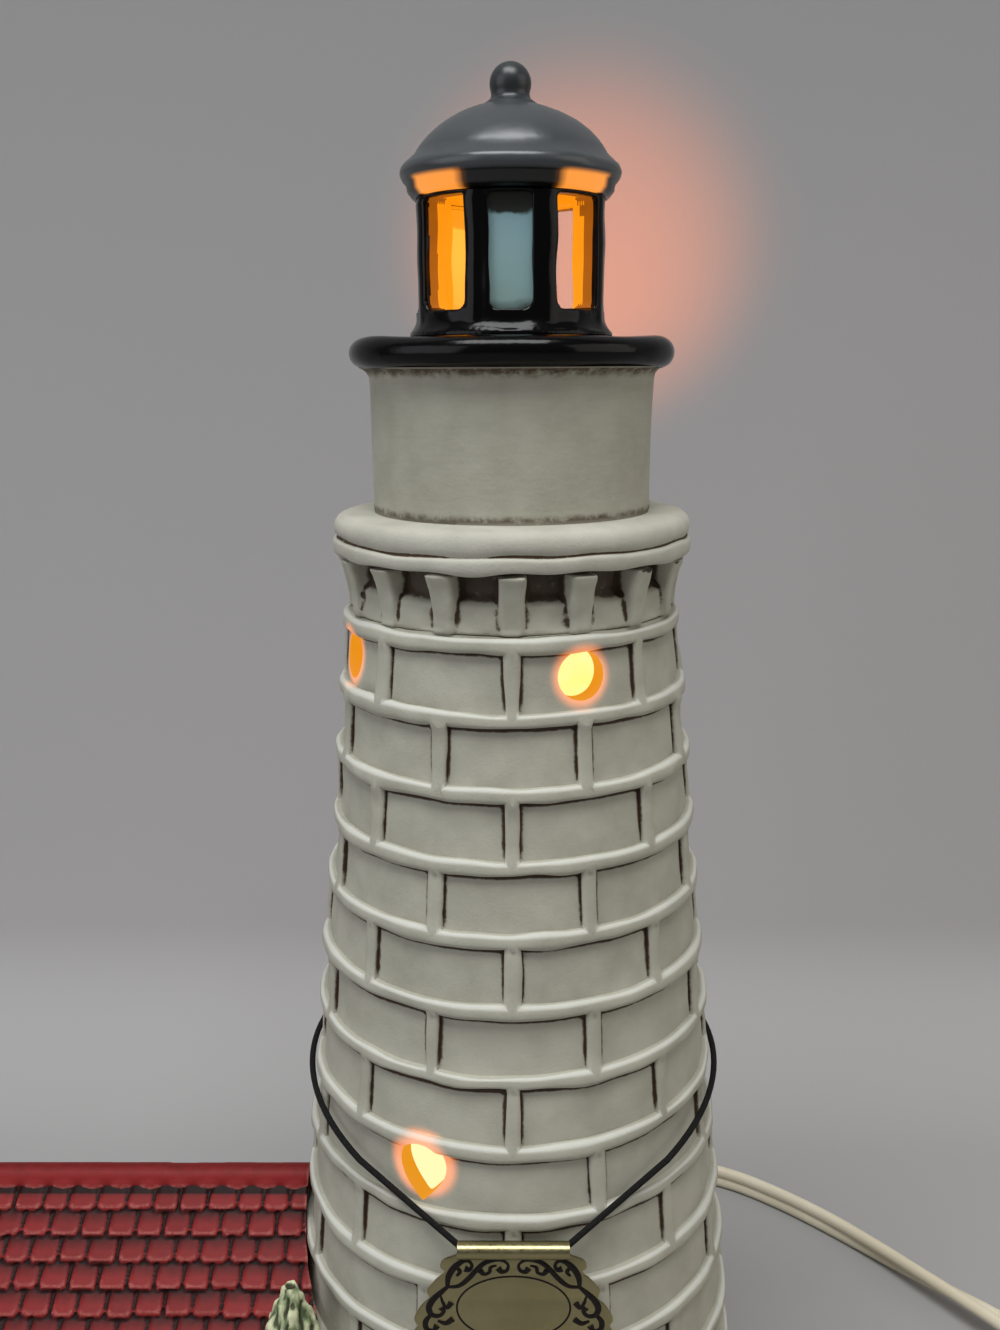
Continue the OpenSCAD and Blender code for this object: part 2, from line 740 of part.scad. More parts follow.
// Candelabra socket: a moulded body with a stepped foot
module socket_body() {
    color("#e8e4d8") difference() {
        union() {
            on_axis(socket_z) cylinder(h = socket_h, r = socket_r);
            on_axis(flange_z - 3.4) cylinder(h = 2.4, r = socket_r + 1.2);
        }
        on_axis(socket_z + 6) cylinder(h = socket_h, r = shell_bore + 0.6);
        on_axis(socket_z + 2) cylinder(h = socket_h, r = 2.4);
    }
}

// Brass screw shell with its rolled threads as beads
module socket_shell() {
    top = socket_top - 1;
    bottom = socket_z + 10;
    color("#b99b52") difference() {
        on_axis(bottom) cylinder(h = top - bottom, r = shell_bore + 0.5);
        on_axis(bottom - over) cylinder(h = top - bottom + 2 * over, r = shell_bore + 0.1);
    }
}

// Centre contact: a rivet with a bent tongue
module socket_contact() {
    foot = socket_z + 6;
    color("#c7a765") union() {
        on_axis(foot) cylinder(h = 1, r = 3.4);
        on_axis(foot - 3) cylinder(h = 3, r = 2.2);
        on_axis(foot + 1) cylinder(h = cap_z - foot - 2.3, r = 1.2);
    }
}

// Spring clip: a collar round the socket under the slab and two wings that snap into the hole
module socket_clip() {
    shoulder = light_hole_r - 0.5;
    catch_r = light_hole_r + 1.4;
    wing = [[socket_r + 1.4, flange_z - clip_t], [socket_r + 2.2, flange_z - clip_t],
            [shoulder, base_h - 0.2], [catch_r, base_h + 1.8], [shoulder - 1, base_h + 6.5],
            [shoulder - 1 - clip_t, base_h + 6.5], [catch_r - clip_t - 0.3, base_h + 1.8],
            [shoulder - clip_t - 0.2, base_h - 0.2]];
    color("#b9bcbf") union() {
        on_axis(flange_z - clip_t) difference() {
            cylinder(h = clip_t, r = light_hole_r + 3);
            translate([0, 0, -over]) cylinder(h = clip_t + 2 * over, r = socket_r + 0.1);
        }
        for (a = [90, 270]) at_bearing(a) rotate([90, 0, 0])
            linear_extrude(7, center = true) polygon(wing);
    }
}

// Outline of the bulb from its neck at 0 to its tip at 1
neck_r = cap_r + 0.6;
function bulb_point(t, shrink) = let (body = t < 0.45
        ? neck_r + (bulb_r - neck_r) * (1 - cos(180 * t / 0.45)) / 2
        : bulb_r * pow(cos(90 * (t - 0.45) / 0.55), 0.75))
    [max(body - shrink, 0), glass_z + t * bulb_l - shrink * (t > 0.9 ? 1 : 0)];
module bulb_glass() {
    steps = 22;
    outer = [for (k = [0 : steps]) bulb_point(k / steps, 0)];
    inner = [for (k = [steps : -1 : 0]) bulb_point(k / steps, glass_t)];
    color("#ffd9a0", 0.5) on_axis() rotate_extrude() polygon(concat(outer, inner));
}

module bulb_cap() {
    color("#c7a765") difference() {
        union() {
            on_axis(cap_z + 2) cylinder(h = glass_z - cap_z - 2, r = cap_r - 0.4);
            for (k = [0 : 4]) on_axis(cap_z + 5 + 2.6 * k)
                rotate_extrude() translate([cap_r - 0.5, 0]) circle(0.5);
        }
        on_axis(cap_z + 2 - over) cylinder(h = glass_z - cap_z + over, r = cap_r - 0.8);
    }
}

// Glass insulator with the solder tip
module bulb_insulator() {
    color("#2a2422") union() {
        on_axis(cap_z) cylinder(h = 2, r1 = 3, r2 = cap_r - 1);
        on_axis(cap_z - 1.2) cylinder(h = 1.2, r = 1.6);
    }
}

// Glass stem with two support wires
stem_z = glass_z + 8;
support_l = 12.7;
support_x = 1.2;
support_lean = 14;
module bulb_stem() {
    color("#cfd4d2") union() {
        on_axis(cap_z + 2) cylinder(h = stem_z + 1 - cap_z - 2, r = 1.9);
        for (s = [-1, 1]) on_axis(stem_z) translate([s * support_x, 0, 0])
            rotate([0, s * support_lean, 0]) cylinder(h = support_l, r = 0.3);
    }
}

// Filament: a bowed wire between the supports
module bulb_filament() {
    bow = support_x + support_l * sin(support_lean) - 0.07;
    color("#ffcf70") on_axis(stem_z + support_l * cos(support_lean) + 0.28) rotate([90, 0, 0])
        rotate_extrude(angle = 180) translate([bow, 0]) circle(0.22);
}

// Half the tag's outline, as shares of the fold's width and of the height below it
tag_half = [[0.5, 0.024], [0.5, 0.047], [0.63, 0.086], [0.66, 0.133], [0.62, 0.165], [0.7, 0.212],
            [0.78, 0.282], [0.76, 0.329], [0.84, 0.384], [0.9, 0.463], [0.87, 0.51], [0.93, 0.573],
            [0.93, 0.675], [0.86, 0.722], [0.84, 0.784]];
tag_foot = 0.808;
module hang_tag() {
    right = [for (p = tag_half) [p[0] * tag_fold_w, -p[1] * tag_h]];
    left = [for (k = [len(right) - 1 : -1 : 0]) [-right[k][0], right[k][1]]];
    foot = [for (a = [-60 : 15 : 60]) [-0.7 * tag_fold_w * sin(a) / sin(60),
        -tag_h * (tag_foot + (1 - tag_foot) * (cos(a) - 0.5) / 0.5)]];
    color("#c9a552") translate([tower_x, -fold_y, fold_z]) rotate([-lean, 0, 0]) union() {
        rotate([0, 90, 0]) difference() {
            cylinder(h = tag_fold_w, r = fold_r, center = true);
            cylinder(h = tag_fold_w + 2 * over, r = fold_r - tag_t, center = true);
        }
        translate([0, fold_r, 0]) rotate([90, 0, 0]) linear_extrude(tag_t)
            polygon(concat(right, foot, left));
    }
}

// Points of the elastic: straight through the fold, then up and round the tower's back
elastic_sides = 6;
elastic_steps = 44;
half_bow = tag_fold_w / 2 + 1;
bow_a = atan(half_bow / crest_r(fold_z)) + 6;
function elastic_point(k) = let (t = k / elastic_steps, a = bow_a + (360 - 2 * bow_a) * t,
        back = max(0, 1 - abs(a - 180) / (180 - bow_a)),
        z = fold_z + elastic_rise * sin(90 * pow(back, elastic_bend)),
        r = crest_r(z) + elastic_r + gap)
    [tower_x + r * sin(a), -r * cos(a), z];
elastic_route = concat([[tower_x - half_bow, -fold_y + 0.1, fold_z], [tower_x, -fold_y, fold_z],
                        [tower_x + half_bow, -fold_y + 0.1, fold_z]],
                       [for (k = [0 : elastic_steps]) elastic_point(k)]);

// Sideways and upward directions of a route at one point
function unit(v) = v / norm(v);
function heading(route, k) = unit(route[min(k + 1, len(route) - 1)] - route[max(k - 1, 0)]);
function sideways(h) = unit(cross([0, 0, 1], h));

// One ring of a tube: an outline laid across the route, turned about it
function tube_ring(p, h, outline, turn) = let (side = sideways(h), up = cross(h, side))
    [for (q = outline) let (x = q[0] * cos(turn) - q[1] * sin(turn),
                            y = q[0] * sin(turn) + q[1] * cos(turn)) p + x * side + y * up];

// Closed loop of elastic
module tag_elastic() {
    count = len(elastic_route);
    outline = [for (k = [0 : elastic_sides - 1]) let (a = 360 * k / elastic_sides)
        [elastic_r * cos(a), elastic_r * sin(a)]];
    rings = [for (k = [0 : count - 1])
        let (h = unit(elastic_route[(k + 1) % count] - elastic_route[(k + count - 1) % count]))
        each tube_ring(elastic_route[k], h, outline, 0)];
    color("#17181a") polyhedron(points = rings, faces = [for (j = [0 : count - 1],
        k = [0 : elastic_sides - 1]) let (n = (k + 1) % elastic_sides, m = (j + 1) % count)
        each [[j * elastic_sides + k, m * elastic_sides + k, m * elastic_sides + n],
              [j * elastic_sides + k, m * elastic_sides + n, j * elastic_sides + n]]]);
}

// Outlines of the flat twin lead on edge: eight sides on the runs, six in the coil
run_outline = [[lead_t * 0.28, -lead_w / 2], [lead_t / 2, -lead_w * 0.35],
               [lead_t / 2, lead_w * 0.35], [lead_t * 0.28, lead_w / 2],
               [-lead_t * 0.28, lead_w / 2], [-lead_t / 2, lead_w * 0.35],
               [-lead_t / 2, -lead_w * 0.35], [-lead_t * 0.28, -lead_w / 2]];
coil_outline = [[0, -lead_w / 2], [lead_t / 2, -lead_w * 0.3], [lead_t / 2, lead_w * 0.3],
                [0, lead_w / 2], [-lead_t / 2, lead_w * 0.3], [-lead_t / 2, -lead_w * 0.3]];

// Open tube along route points that hold x, y, z and the outline's turn
module lead(route, outline) {
    points = [for (q = route) [q[0], q[1], q[2]]];
    color("#ddd8c2") polyhedron(points = [for (k = [0 : len(route) - 1])
            each tube_ring(points[k], heading(points, k), outline, route[k][3])],
        faces = skin_faces(len(route), len(outline)));
}

// Route points of the lead, chosen by hand: x, y, z and turn, from the socket to the plug
edge_z = 2.7;
inside_route = [[28, 11, 9, 0], [28, 16, 9, 0], [28, 27, 6.2, 0], [28, 36, 3.2, 0],
                [28, 43, 2.7, 0], [28, 49, 2.7, 0]];
run_route = [[28, 49, 2.7, 0], [28, 58, 2.7, 0], [30, 68, 2.7, 0], [35, 76, 2.7, 0],
             [43, 82.5, 2.7, 0], [53, 86.6, 2.7, 0], [64, 88, 2.7, 0], [74, 87, 2.7, 0],
             [84, 83, 2.7, 0], [94, 76, 2.7, 0], [104, 67, 2.7, 0], [113, 57, 3, 15],
             [121, 46.5, 4, 35], [127.5, 38, 5, 60], [133, 30, 6, 80], [136, 24, 6.5, 90],
             [136, 19, 6.5, 90]];
feed_route = [[136, -27.2, 6.5, 90], [136, -33, 6.3, 80], [136, -39, 4.6, 50], [136, -45, 3.2, 20],
              [136, -51, 2.7, 0], [136, -56.7, 2.7, 0]];
module lead_inside() lead(inside_route, run_outline);
module lead_run() lead(run_route, run_outline);
module lead_feed() lead(feed_route, run_outline);
module lead_tail() lead(tail_route, run_outline);
tail_route = [[coil_x - 0.3, tail_y, edge_z + coil_lift, 0], [coil_x - 6, tail_y, 8.6, 10],
              [coil_x - 13, tail_y, 8, 45], [coil_x - 20, tail_y, 7.5, 80],
              [plug_x, tail_y, plug_z, 90]];

// Coil: two layers of turns, in along the table and out again on top
coil_rings = 24;
function coil_centre(k) = let (u = k / coil_rings, half = coil_turns / 2,
        r = coil_in + coil_step * abs(u - half),
        rise = min(max((u - half + 0.25) * 2, 0), 1), a = -360 * u)
    [coil_x + r * cos(a), coil_y + r * sin(a), edge_z + coil_lift * rise, 0];
coil_route = [for (k = [0 : coil_turns * coil_rings]) coil_centre(k)];
module lead_coil() lead(coil_route, coil_outline);

// Least distance between points of the coil's skin that are more than half a turn apart
coil_line = [for (q = coil_route) [q[0], q[1], q[2]]];
coil_skin = [for (k = [0 : len(coil_line) - 1])
    tube_ring(coil_line[k], heading(coil_line, k), coil_outline, 0)];
least_gap = min([for (k = [0 : len(coil_line) - 1], j = [k + 12 : 1 : len(coil_line) - 1])
    if ((j - k) % coil_rings < 2 || (j - k) % coil_rings > coil_rings - 2)
        for (p = coil_skin[k], q = coil_skin[j]) norm(p - q)]);
echo("Least gap in the coil, mm", least_gap);

wheel_x = switch_x + switch_w / 2 - wheel_r + 2;
wheel_z = switch_h / 2 - wheel_t / 2;
strip_x = wheel_x - wheel_r - 1.1;

// A switch housing half: block with tapered noses, from the parting plane outwards
module housing_half(height) {
    nose = 9;
    tip = 4.6;
    linear_extrude(height) polygon([[-switch_w / 2, -switch_l / 2 + nose],
        [-tip, -switch_l / 2], [tip, -switch_l / 2], [switch_w / 2, -switch_l / 2 + nose],
        [switch_w / 2, switch_l / 2 - nose], [tip, switch_l / 2], [-tip, switch_l / 2],
        [-switch_w / 2, switch_l / 2 - nose]]);
}

// Room for the wheel, the contacts and the screw inside the housing
module switch_room() {
    translate([wheel_x, switch_y, wheel_z - 0.3]) cylinder(h = wheel_t + 0.6, r = wheel_r + 0.4);
    translate([strip_x - 0.4, switch_y - 11.2, switch_h / 2 - 1.4]) cube([2, 22.4, 2.8]);
}

module switch_bottom() {
    color("#e6e1cf") union() {
        difference() {
            translate([switch_x, switch_y, 0]) housing_half(switch_h / 2);
            switch_room();
            translate([switch_x, switch_y - 14, 2]) cylinder(h = switch_h, r = 1.25);
        }
        translate([wheel_x, switch_y, wheel_z - 0.5]) cylinder(h = wheel_t + 0.5, r = pin_r);
    }
}

module switch_top() {
    color("#e6e1cf") difference() {
        translate([switch_x, switch_y, switch_h / 2]) housing_half(switch_h / 2);
        switch_room();
        translate([switch_x, switch_y - 14, switch_h / 2 - over])
            cylinder(h = switch_h, r = 1.6);
        translate([switch_x, switch_y - 14, switch_h - 2]) cylinder(h = switch_h, r = 2.6);
    }
}

// Knurled thumb wheel on its pin
module switch_wheel() {
    grips = 30;
    color("#d9d3bd") translate([wheel_x, switch_y, wheel_z]) difference() {
        cylinder(h = wheel_t, r = wheel_r);
        translate([0, 0, -over]) cylinder(h = wheel_t + 2 * over, r = pin_r + run_gap);
        for (k = [0 : grips - 1]) rotate(360 * k / grips) translate([wheel_r + 0.15, 0, -over])
            cylinder(h = wheel_t + 2 * over, r = 0.4);
    }
}

// Two brass strips beside the wheel
module switch_contacts() {
    color("#c7a765") for (s = [-1, 1])
        translate([strip_x, switch_y + s * 6 - 4.8, switch_h / 2 - 1.2]) cube([0.6, 9.6, 2.4]);
}

module switch_screw() {
    color("#b9bcbf") translate([switch_x, switch_y - 14, 0]) union() {
        translate([0, 0, 2.4]) cylinder(h = switch_h - 4, r = 1.15);
        translate([0, 0, switch_h - 2 + 0.1]) difference() {
            cylinder(h = 1.4, r = 2.4);
            translate([-3, -0.3, 0.8]) cube([6, 0.6, over]);
        }
    }
}

// Moulded plug: tapered grip, collar and a face with two blades
module plug_body() {
    face = plug_x - plug_l;
    color("#e0dbc8") difference() {
        union() {
            translate([face, tail_y - plug_w / 2, 0]) cube([plug_l * 0.3, plug_w, plug_h]);
            translate([face + plug_l * 0.3 - 0.01, tail_y, 0]) linear_extrude(plug_h)
                polygon([[0, -plug_w * 0.42], [plug_l * 0.5, -plug_w * 0.3],
                         [plug_l * 0.7, -plug_w * 0.2], [plug_l * 0.7, plug_w * 0.2],
                         [plug_l * 0.5, plug_w * 0.3], [0, plug_w * 0.42]]);
        }
        for (s = [-1, 1]) translate([face - over, tail_y + s * blade_gap / 2 - 0.75, plug_z - 3.15])
            cube([7 + over, 1.5, 6.3]);
    }
}

module plug_blades() {
    face = plug_x - plug_l;
    color("#c9b06a") for (s = [-1, 1])
        translate([face - 16, tail_y + s * blade_gap / 2 - 0.75, plug_z - 3.15]) difference() {
            cube([22.9, 1.5, 6.3]);
            translate([3.5, -over, 3.15]) rotate([-90, 0, 0]) cylinder(h = 1.5 + 2 * over, r = 1.6);
        }
}

rocky_base();
tower_shaft();
corbel_course();
lower_gallery();
watch_room();
upper_gallery();
lantern_room();
blind_panes();
lantern_dome();
ball_finial();
house_walls();
house_roof();
ridge_tiles();
house_windows();
house_door();
shrub_left();
shrub_right();
socket_body();
socket_shell();
socket_contact();
socket_clip();
bulb_glass();
bulb_cap();
bulb_insulator();
bulb_stem();
bulb_filament();
hang_tag();
tag_elastic();
lead_inside();
lead_run();
lead_feed();
lead_coil();
lead_tail();
switch_bottom();
switch_top();
switch_wheel();
switch_contacts();
switch_screw();
plug_body();
plug_blades();
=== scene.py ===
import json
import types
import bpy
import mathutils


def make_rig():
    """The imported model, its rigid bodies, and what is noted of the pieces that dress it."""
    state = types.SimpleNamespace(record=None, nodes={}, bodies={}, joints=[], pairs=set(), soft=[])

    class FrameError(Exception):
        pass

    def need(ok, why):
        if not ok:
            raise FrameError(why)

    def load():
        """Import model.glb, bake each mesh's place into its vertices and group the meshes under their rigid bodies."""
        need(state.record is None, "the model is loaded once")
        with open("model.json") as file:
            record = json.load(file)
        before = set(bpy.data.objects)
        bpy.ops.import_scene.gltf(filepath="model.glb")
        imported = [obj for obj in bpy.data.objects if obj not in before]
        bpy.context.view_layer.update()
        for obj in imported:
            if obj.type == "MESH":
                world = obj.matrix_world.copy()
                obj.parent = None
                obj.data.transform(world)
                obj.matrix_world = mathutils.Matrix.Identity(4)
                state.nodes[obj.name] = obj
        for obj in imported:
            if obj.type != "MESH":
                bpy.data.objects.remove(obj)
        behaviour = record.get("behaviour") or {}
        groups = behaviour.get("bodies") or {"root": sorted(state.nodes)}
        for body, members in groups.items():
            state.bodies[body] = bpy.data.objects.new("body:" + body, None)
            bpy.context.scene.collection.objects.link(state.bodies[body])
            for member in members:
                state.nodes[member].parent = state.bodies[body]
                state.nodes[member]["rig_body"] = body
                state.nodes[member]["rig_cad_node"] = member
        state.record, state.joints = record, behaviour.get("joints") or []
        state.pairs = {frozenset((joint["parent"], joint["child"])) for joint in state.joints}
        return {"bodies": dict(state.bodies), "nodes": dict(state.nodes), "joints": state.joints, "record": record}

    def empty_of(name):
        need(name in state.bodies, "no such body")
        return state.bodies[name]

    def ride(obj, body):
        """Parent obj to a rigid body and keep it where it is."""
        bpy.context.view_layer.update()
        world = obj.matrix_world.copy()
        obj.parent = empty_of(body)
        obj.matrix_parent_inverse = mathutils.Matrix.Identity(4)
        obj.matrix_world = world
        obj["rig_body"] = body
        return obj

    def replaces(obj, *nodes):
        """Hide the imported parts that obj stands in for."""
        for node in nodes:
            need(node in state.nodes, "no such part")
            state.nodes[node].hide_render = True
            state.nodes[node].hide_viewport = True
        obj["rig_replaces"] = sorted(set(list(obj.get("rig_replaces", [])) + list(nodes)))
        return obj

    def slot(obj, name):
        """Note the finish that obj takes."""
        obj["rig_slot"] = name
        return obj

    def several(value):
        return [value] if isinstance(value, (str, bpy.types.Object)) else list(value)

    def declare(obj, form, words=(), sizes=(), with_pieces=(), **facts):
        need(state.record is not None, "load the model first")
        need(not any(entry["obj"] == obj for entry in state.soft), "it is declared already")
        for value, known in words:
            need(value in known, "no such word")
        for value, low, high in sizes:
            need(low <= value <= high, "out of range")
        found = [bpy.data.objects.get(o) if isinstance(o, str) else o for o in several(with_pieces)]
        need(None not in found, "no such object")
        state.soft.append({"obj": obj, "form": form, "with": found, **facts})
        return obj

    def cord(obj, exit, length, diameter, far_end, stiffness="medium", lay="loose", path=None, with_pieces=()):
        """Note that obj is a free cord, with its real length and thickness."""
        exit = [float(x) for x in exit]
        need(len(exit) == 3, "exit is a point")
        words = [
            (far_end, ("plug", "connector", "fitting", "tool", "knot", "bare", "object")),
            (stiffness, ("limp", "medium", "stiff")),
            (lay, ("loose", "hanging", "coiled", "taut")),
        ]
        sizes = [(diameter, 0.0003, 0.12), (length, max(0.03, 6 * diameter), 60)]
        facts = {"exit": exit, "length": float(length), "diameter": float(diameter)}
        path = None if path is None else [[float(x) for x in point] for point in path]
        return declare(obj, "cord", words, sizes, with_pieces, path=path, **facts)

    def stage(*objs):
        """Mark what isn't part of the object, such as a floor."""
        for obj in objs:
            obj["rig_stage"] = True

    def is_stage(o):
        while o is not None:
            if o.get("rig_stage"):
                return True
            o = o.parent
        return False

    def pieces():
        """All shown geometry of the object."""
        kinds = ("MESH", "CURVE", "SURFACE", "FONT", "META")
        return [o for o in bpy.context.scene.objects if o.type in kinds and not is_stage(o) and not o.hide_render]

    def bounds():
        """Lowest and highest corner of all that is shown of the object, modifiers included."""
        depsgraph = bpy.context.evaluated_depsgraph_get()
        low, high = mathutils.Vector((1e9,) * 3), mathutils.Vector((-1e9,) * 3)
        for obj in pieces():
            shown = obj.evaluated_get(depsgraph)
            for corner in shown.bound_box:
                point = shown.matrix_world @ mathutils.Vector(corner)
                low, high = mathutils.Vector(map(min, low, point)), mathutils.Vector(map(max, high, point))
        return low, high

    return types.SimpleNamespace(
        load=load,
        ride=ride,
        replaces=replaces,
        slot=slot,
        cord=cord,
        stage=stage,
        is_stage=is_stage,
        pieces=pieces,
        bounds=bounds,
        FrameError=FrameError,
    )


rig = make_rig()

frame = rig.load()

import json
import math
import random

import bmesh
import bpy
import numpy as np
from mathutils import Vector, noise

cad_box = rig.bounds()
nodes = frame["nodes"]
MM = 0.001

# sizes, in mm as in the CAD
TOWER_X = 28.0
BASE_TOP = 17.0
SHAFT_TOP, CORBEL_TOP, FASCIA_TOP, GALLERY_TOP = 168.0, 176.6, 179.3, 183.1
WATCH_TOP, DISC_TOP, LANTERN_TOP, DOME_TOP = 204.7, 209.0, 229.0, 242.2
TOP_RING, TAPER, TOWER_R, RING_PROUD, WALL = 166.6, 0.095, 26.65, 1.2, 3.0
RIDGE_Z, PITCH, SHINGLE_H, SHINGLE_W, ROWS, BAND = 64.6, 40.0, 4.23, 4.9, 7, 2.6
ROOF_X0, ROOF_L, EAVE_Y, DECK_T = -65.0, 93.0, 24.67, 2.4
FOLD_Z, FOLD_Y, FOLD_R, FOLD_W, TAG_T = 77.5, 36.7645, 1.3, 16.6, 0.5
LEAN = math.atan(TAPER)
HOLE_R, DROP_R, DROP_DOWN = 3.6, 3.9, 6.0
PORTS = [(22.5 + 90 * k, 162) for k in range(4)]
DROP_A, DROP_Z = -24.5, 87.3
OPEN_BAYS, BLIND_BAYS = (45, 135, 315), (0, 90, 180, 225, 270)
BORE_R, GALLERY_BORE_R = 11.2, 18.1


def crest_r(z):
    return TOWER_R + TAPER * (TOP_RING - z)


def face_r(z):
    return crest_r(z) - RING_PROUD


def ring_z(i):
    return TOP_RING - 10.65 * i - 0.05 * i * (i - 1) / 2


def point(x, y, z):
    return Vector((x, y, z)) * MM


def on_tower(bearing, r, z):
    """A point round the tower: bearing in degrees from the front, towards the right."""
    a = math.radians(bearing)
    return point(TOWER_X + r * math.sin(a), -r * math.cos(a), z)


def bearing_of(place):
    return math.degrees(math.atan2(place[0] - TOWER_X * MM, -place[1]))


def apart(a, b):
    return abs((a - b + 180) % 360 - 180)


# modelling by hand
def clear():
    bpy.ops.object.select_all(action="DESELECT")


def take(*pieces):
    clear()
    for piece in pieces:
        piece.select_set(True)
    bpy.context.view_layer.objects.active = pieces[-1]


def settle(name, scale=None):
    """Names the newest primitive and moves its place, and a scale in mm, into its mesh."""
    piece = bpy.context.object
    if scale:
        piece.scale = Vector(scale) * MM
    bpy.ops.object.transform_apply(location=True, rotation=True, scale=True)
    piece.name = piece.data.name = name
    return piece


def edit(piece):
    """Opens a piece in edit mode with all of it selected."""
    take(piece)
    bpy.ops.object.mode_set(mode="EDIT")
    bpy.ops.mesh.select_all(action="SELECT")


def leave():
    bpy.ops.object.mode_set(mode="OBJECT")


def choose(piece, kind, test):
    """Selects the verts, edges or faces that pass a test, in edit mode."""
    bpy.context.tool_settings.mesh_select_mode = [kind == m for m in ("verts", "edges", "faces")]
    bpy.ops.mesh.select_all(action="DESELECT")
    mesh = bmesh.from_edit_mesh(piece.data)
    for part in getattr(mesh, kind):
        if test(part):
            part.select_set(True)
    mesh.select_flush_mode()
    bmesh.update_edit_mesh(piece.data)


def extrude(step):
    """Pulls the selection out by a step in metres."""
    bpy.ops.mesh.extrude_region_move(TRANSFORM_OT_translate={"value": step})


def bevel_edges(size, segments):
    bpy.ops.mesh.bevel(offset=size * MM, segments=segments, affect="EDGES")


def sliced(piece, levels):
    """Adds level cuts at heights in mm."""
    edit(piece)
    for level in levels:
        bpy.ops.mesh.select_all(action="SELECT")
        bpy.ops.mesh.bisect(plane_co=point(0, 0, level), plane_no=(0, 0, 1))
    leave()


def modify(piece, kind, **settings):
    take(piece)
    made = piece.modifiers.new("step", kind)
    for key, value in settings.items():
        setattr(made, key, value)
    bpy.ops.object.modifier_apply(modifier=made.name)


def round_off(piece, width, segments, angle):
    """Bevels the edges sharper than an angle in degrees, by a width in mm."""
    modify(piece, "BEVEL", width=width * MM, segments=segments, limit_method="ANGLE",
           angle_limit=math.radians(angle), use_clamp_overlap=True)


def tidy(piece):
    """Merges doubles and turns the faces outwards."""
    edit(piece)
    bpy.ops.mesh.remove_doubles(threshold=1e-6)
    bpy.ops.mesh.normals_make_consistent(inside=False)
    leave()
    return piece


def join(name, pieces):
    take(*pieces)
    if len(pieces) > 1:
        bpy.ops.object.join()
    piece = bpy.context.object
    piece.name = piece.data.name = name
    return piece


def copy_of(node, name, flatten=True):
    """A copy of a CAD piece to work on, with its flat faces in one if asked."""
    other = nodes[node].copy()
    other.data = nodes[node].data.copy()
    other.name = other.data.name = name
    bpy.context.collection.objects.link(other)
    tidy(other)
    if flatten:
        edit(other)
        bpy.ops.mesh.dissolve_limited(angle_limit=math.radians(0.5))
        leave()
    return other


def cast(piece, voxel, rounds=2):
    """Fuses a piece as one casting and softens its edges, as a slip mould does."""
    modify(piece, "REMESH", mode="VOXEL", voxel_size=voxel * MM, use_smooth_shade=True)
    if rounds:
        modify(piece, "SMOOTH", factor=0.5, iterations=rounds)


def block(name, lo, hi, bevel=0.0):
    """A box between two corners in mm, its edges bevelled."""
    centre = [(a + b) / 2 * MM for a, b in zip(lo, hi)]
    clear()
    bpy.ops.mesh.primitive_cube_add(size=1, location=centre, scale=[(b - a) * MM for a, b in zip(lo, hi)])
    piece = settle(name)
    if bevel:
        edit(piece)
        bevel_edges(bevel, 2)
        leave()
    return piece


def rod(name, a, b, r, sides=24):
    """A closed cylinder from one point to another, both in metres."""
    run = Vector(b) - Vector(a)
    clear()
    bpy.ops.mesh.primitive_cylinder_add(vertices=sides, radius=r * MM, depth=run.length,
                                        location=(Vector(a) + Vector(b)) / 2,
                                        rotation=run.to_track_quat("Z", "Y").to_euler())
    return settle(name)


def cone(name, z0, r0, z1, r1, sides, ends="NOTHING"):
    """A cone on the tower's axis, heights and radii in mm."""
    clear()
    bpy.ops.mesh.primitive_cone_add(vertices=sides, radius1=r0 * MM, radius2=r1 * MM, depth=(z1 - z0) * MM,
                                    end_fill_type=ends, location=point(TOWER_X, 0, (z0 + z1) / 2))
    return settle(name)


def prism(name, corners, run):
    """A flat outline of corners in mm, pulled along a run in mm."""
    clear()
    bpy.ops.mesh.primitive_circle_add(vertices=len(corners), radius=MM, fill_type="NGON")
    piece = settle(name)
    place_points(piece, np.array(corners) * MM)
    edit(piece)
    extrude(Vector(run) * MM)
    leave()
    return tidy(piece)


def turned(name, outline, sides=128):
    """A closed outline of radius and height in mm, extruded point by point and spun on the tower's axis."""
    clear()
    bpy.ops.mesh.primitive_plane_add(size=MM, location=(outline[0][0] * MM, 0, outline[0][1] * MM))
    piece = settle(name)
    edit(piece)
    choose(piece, "verts", lambda v: True)
    bpy.ops.mesh.merge(type="CENTER")
    for a, b in zip(outline, outline[1:]):
        extrude(((b[0] - a[0]) * MM, 0, (b[1] - a[1]) * MM))
    leave()
    modify(piece, "SCREW", steps=sides, render_steps=sides, use_merge_vertices=True,
           merge_threshold=1e-6, use_smooth_shade=True)
    return tidy(swung(piece, 0))


def swung(piece, bearing):
    """Moves a piece drawn round the origin on to the tower's axis, turned by a bearing."""
    take(piece)
    piece.rotation_euler = (0, 0, math.radians(bearing))
    piece.location = (TOWER_X * MM, 0, 0)
    bpy.ops.object.transform_apply(location=True, rotation=True)
    return piece


def arc(x, z, r, start, end, count=8):
    """Points of radius and height on an arc, angles in degrees from outwards."""
    turns = [math.radians(start + (end - start) * k / count) for k in range(count + 1)]
    return [(x + r * math.cos(t), z + r * math.sin(t)) for t in turns]


def oval_arc(across, tall, z, angles):
    """Points at angles in degrees round an oval, its middle at a height."""
    return [(across * math.cos(math.radians(t)), z + tall * math.sin(math.radians(t))) for t in angles]


def cut(piece, *tools):
    """Takes the tools away from a piece, and deletes them."""
    tool = join("tool", list(tools))
    modify(piece, "BOOLEAN", operation="DIFFERENCE", object=tool, solver="EXACT")
    bpy.data.objects.remove(tool)


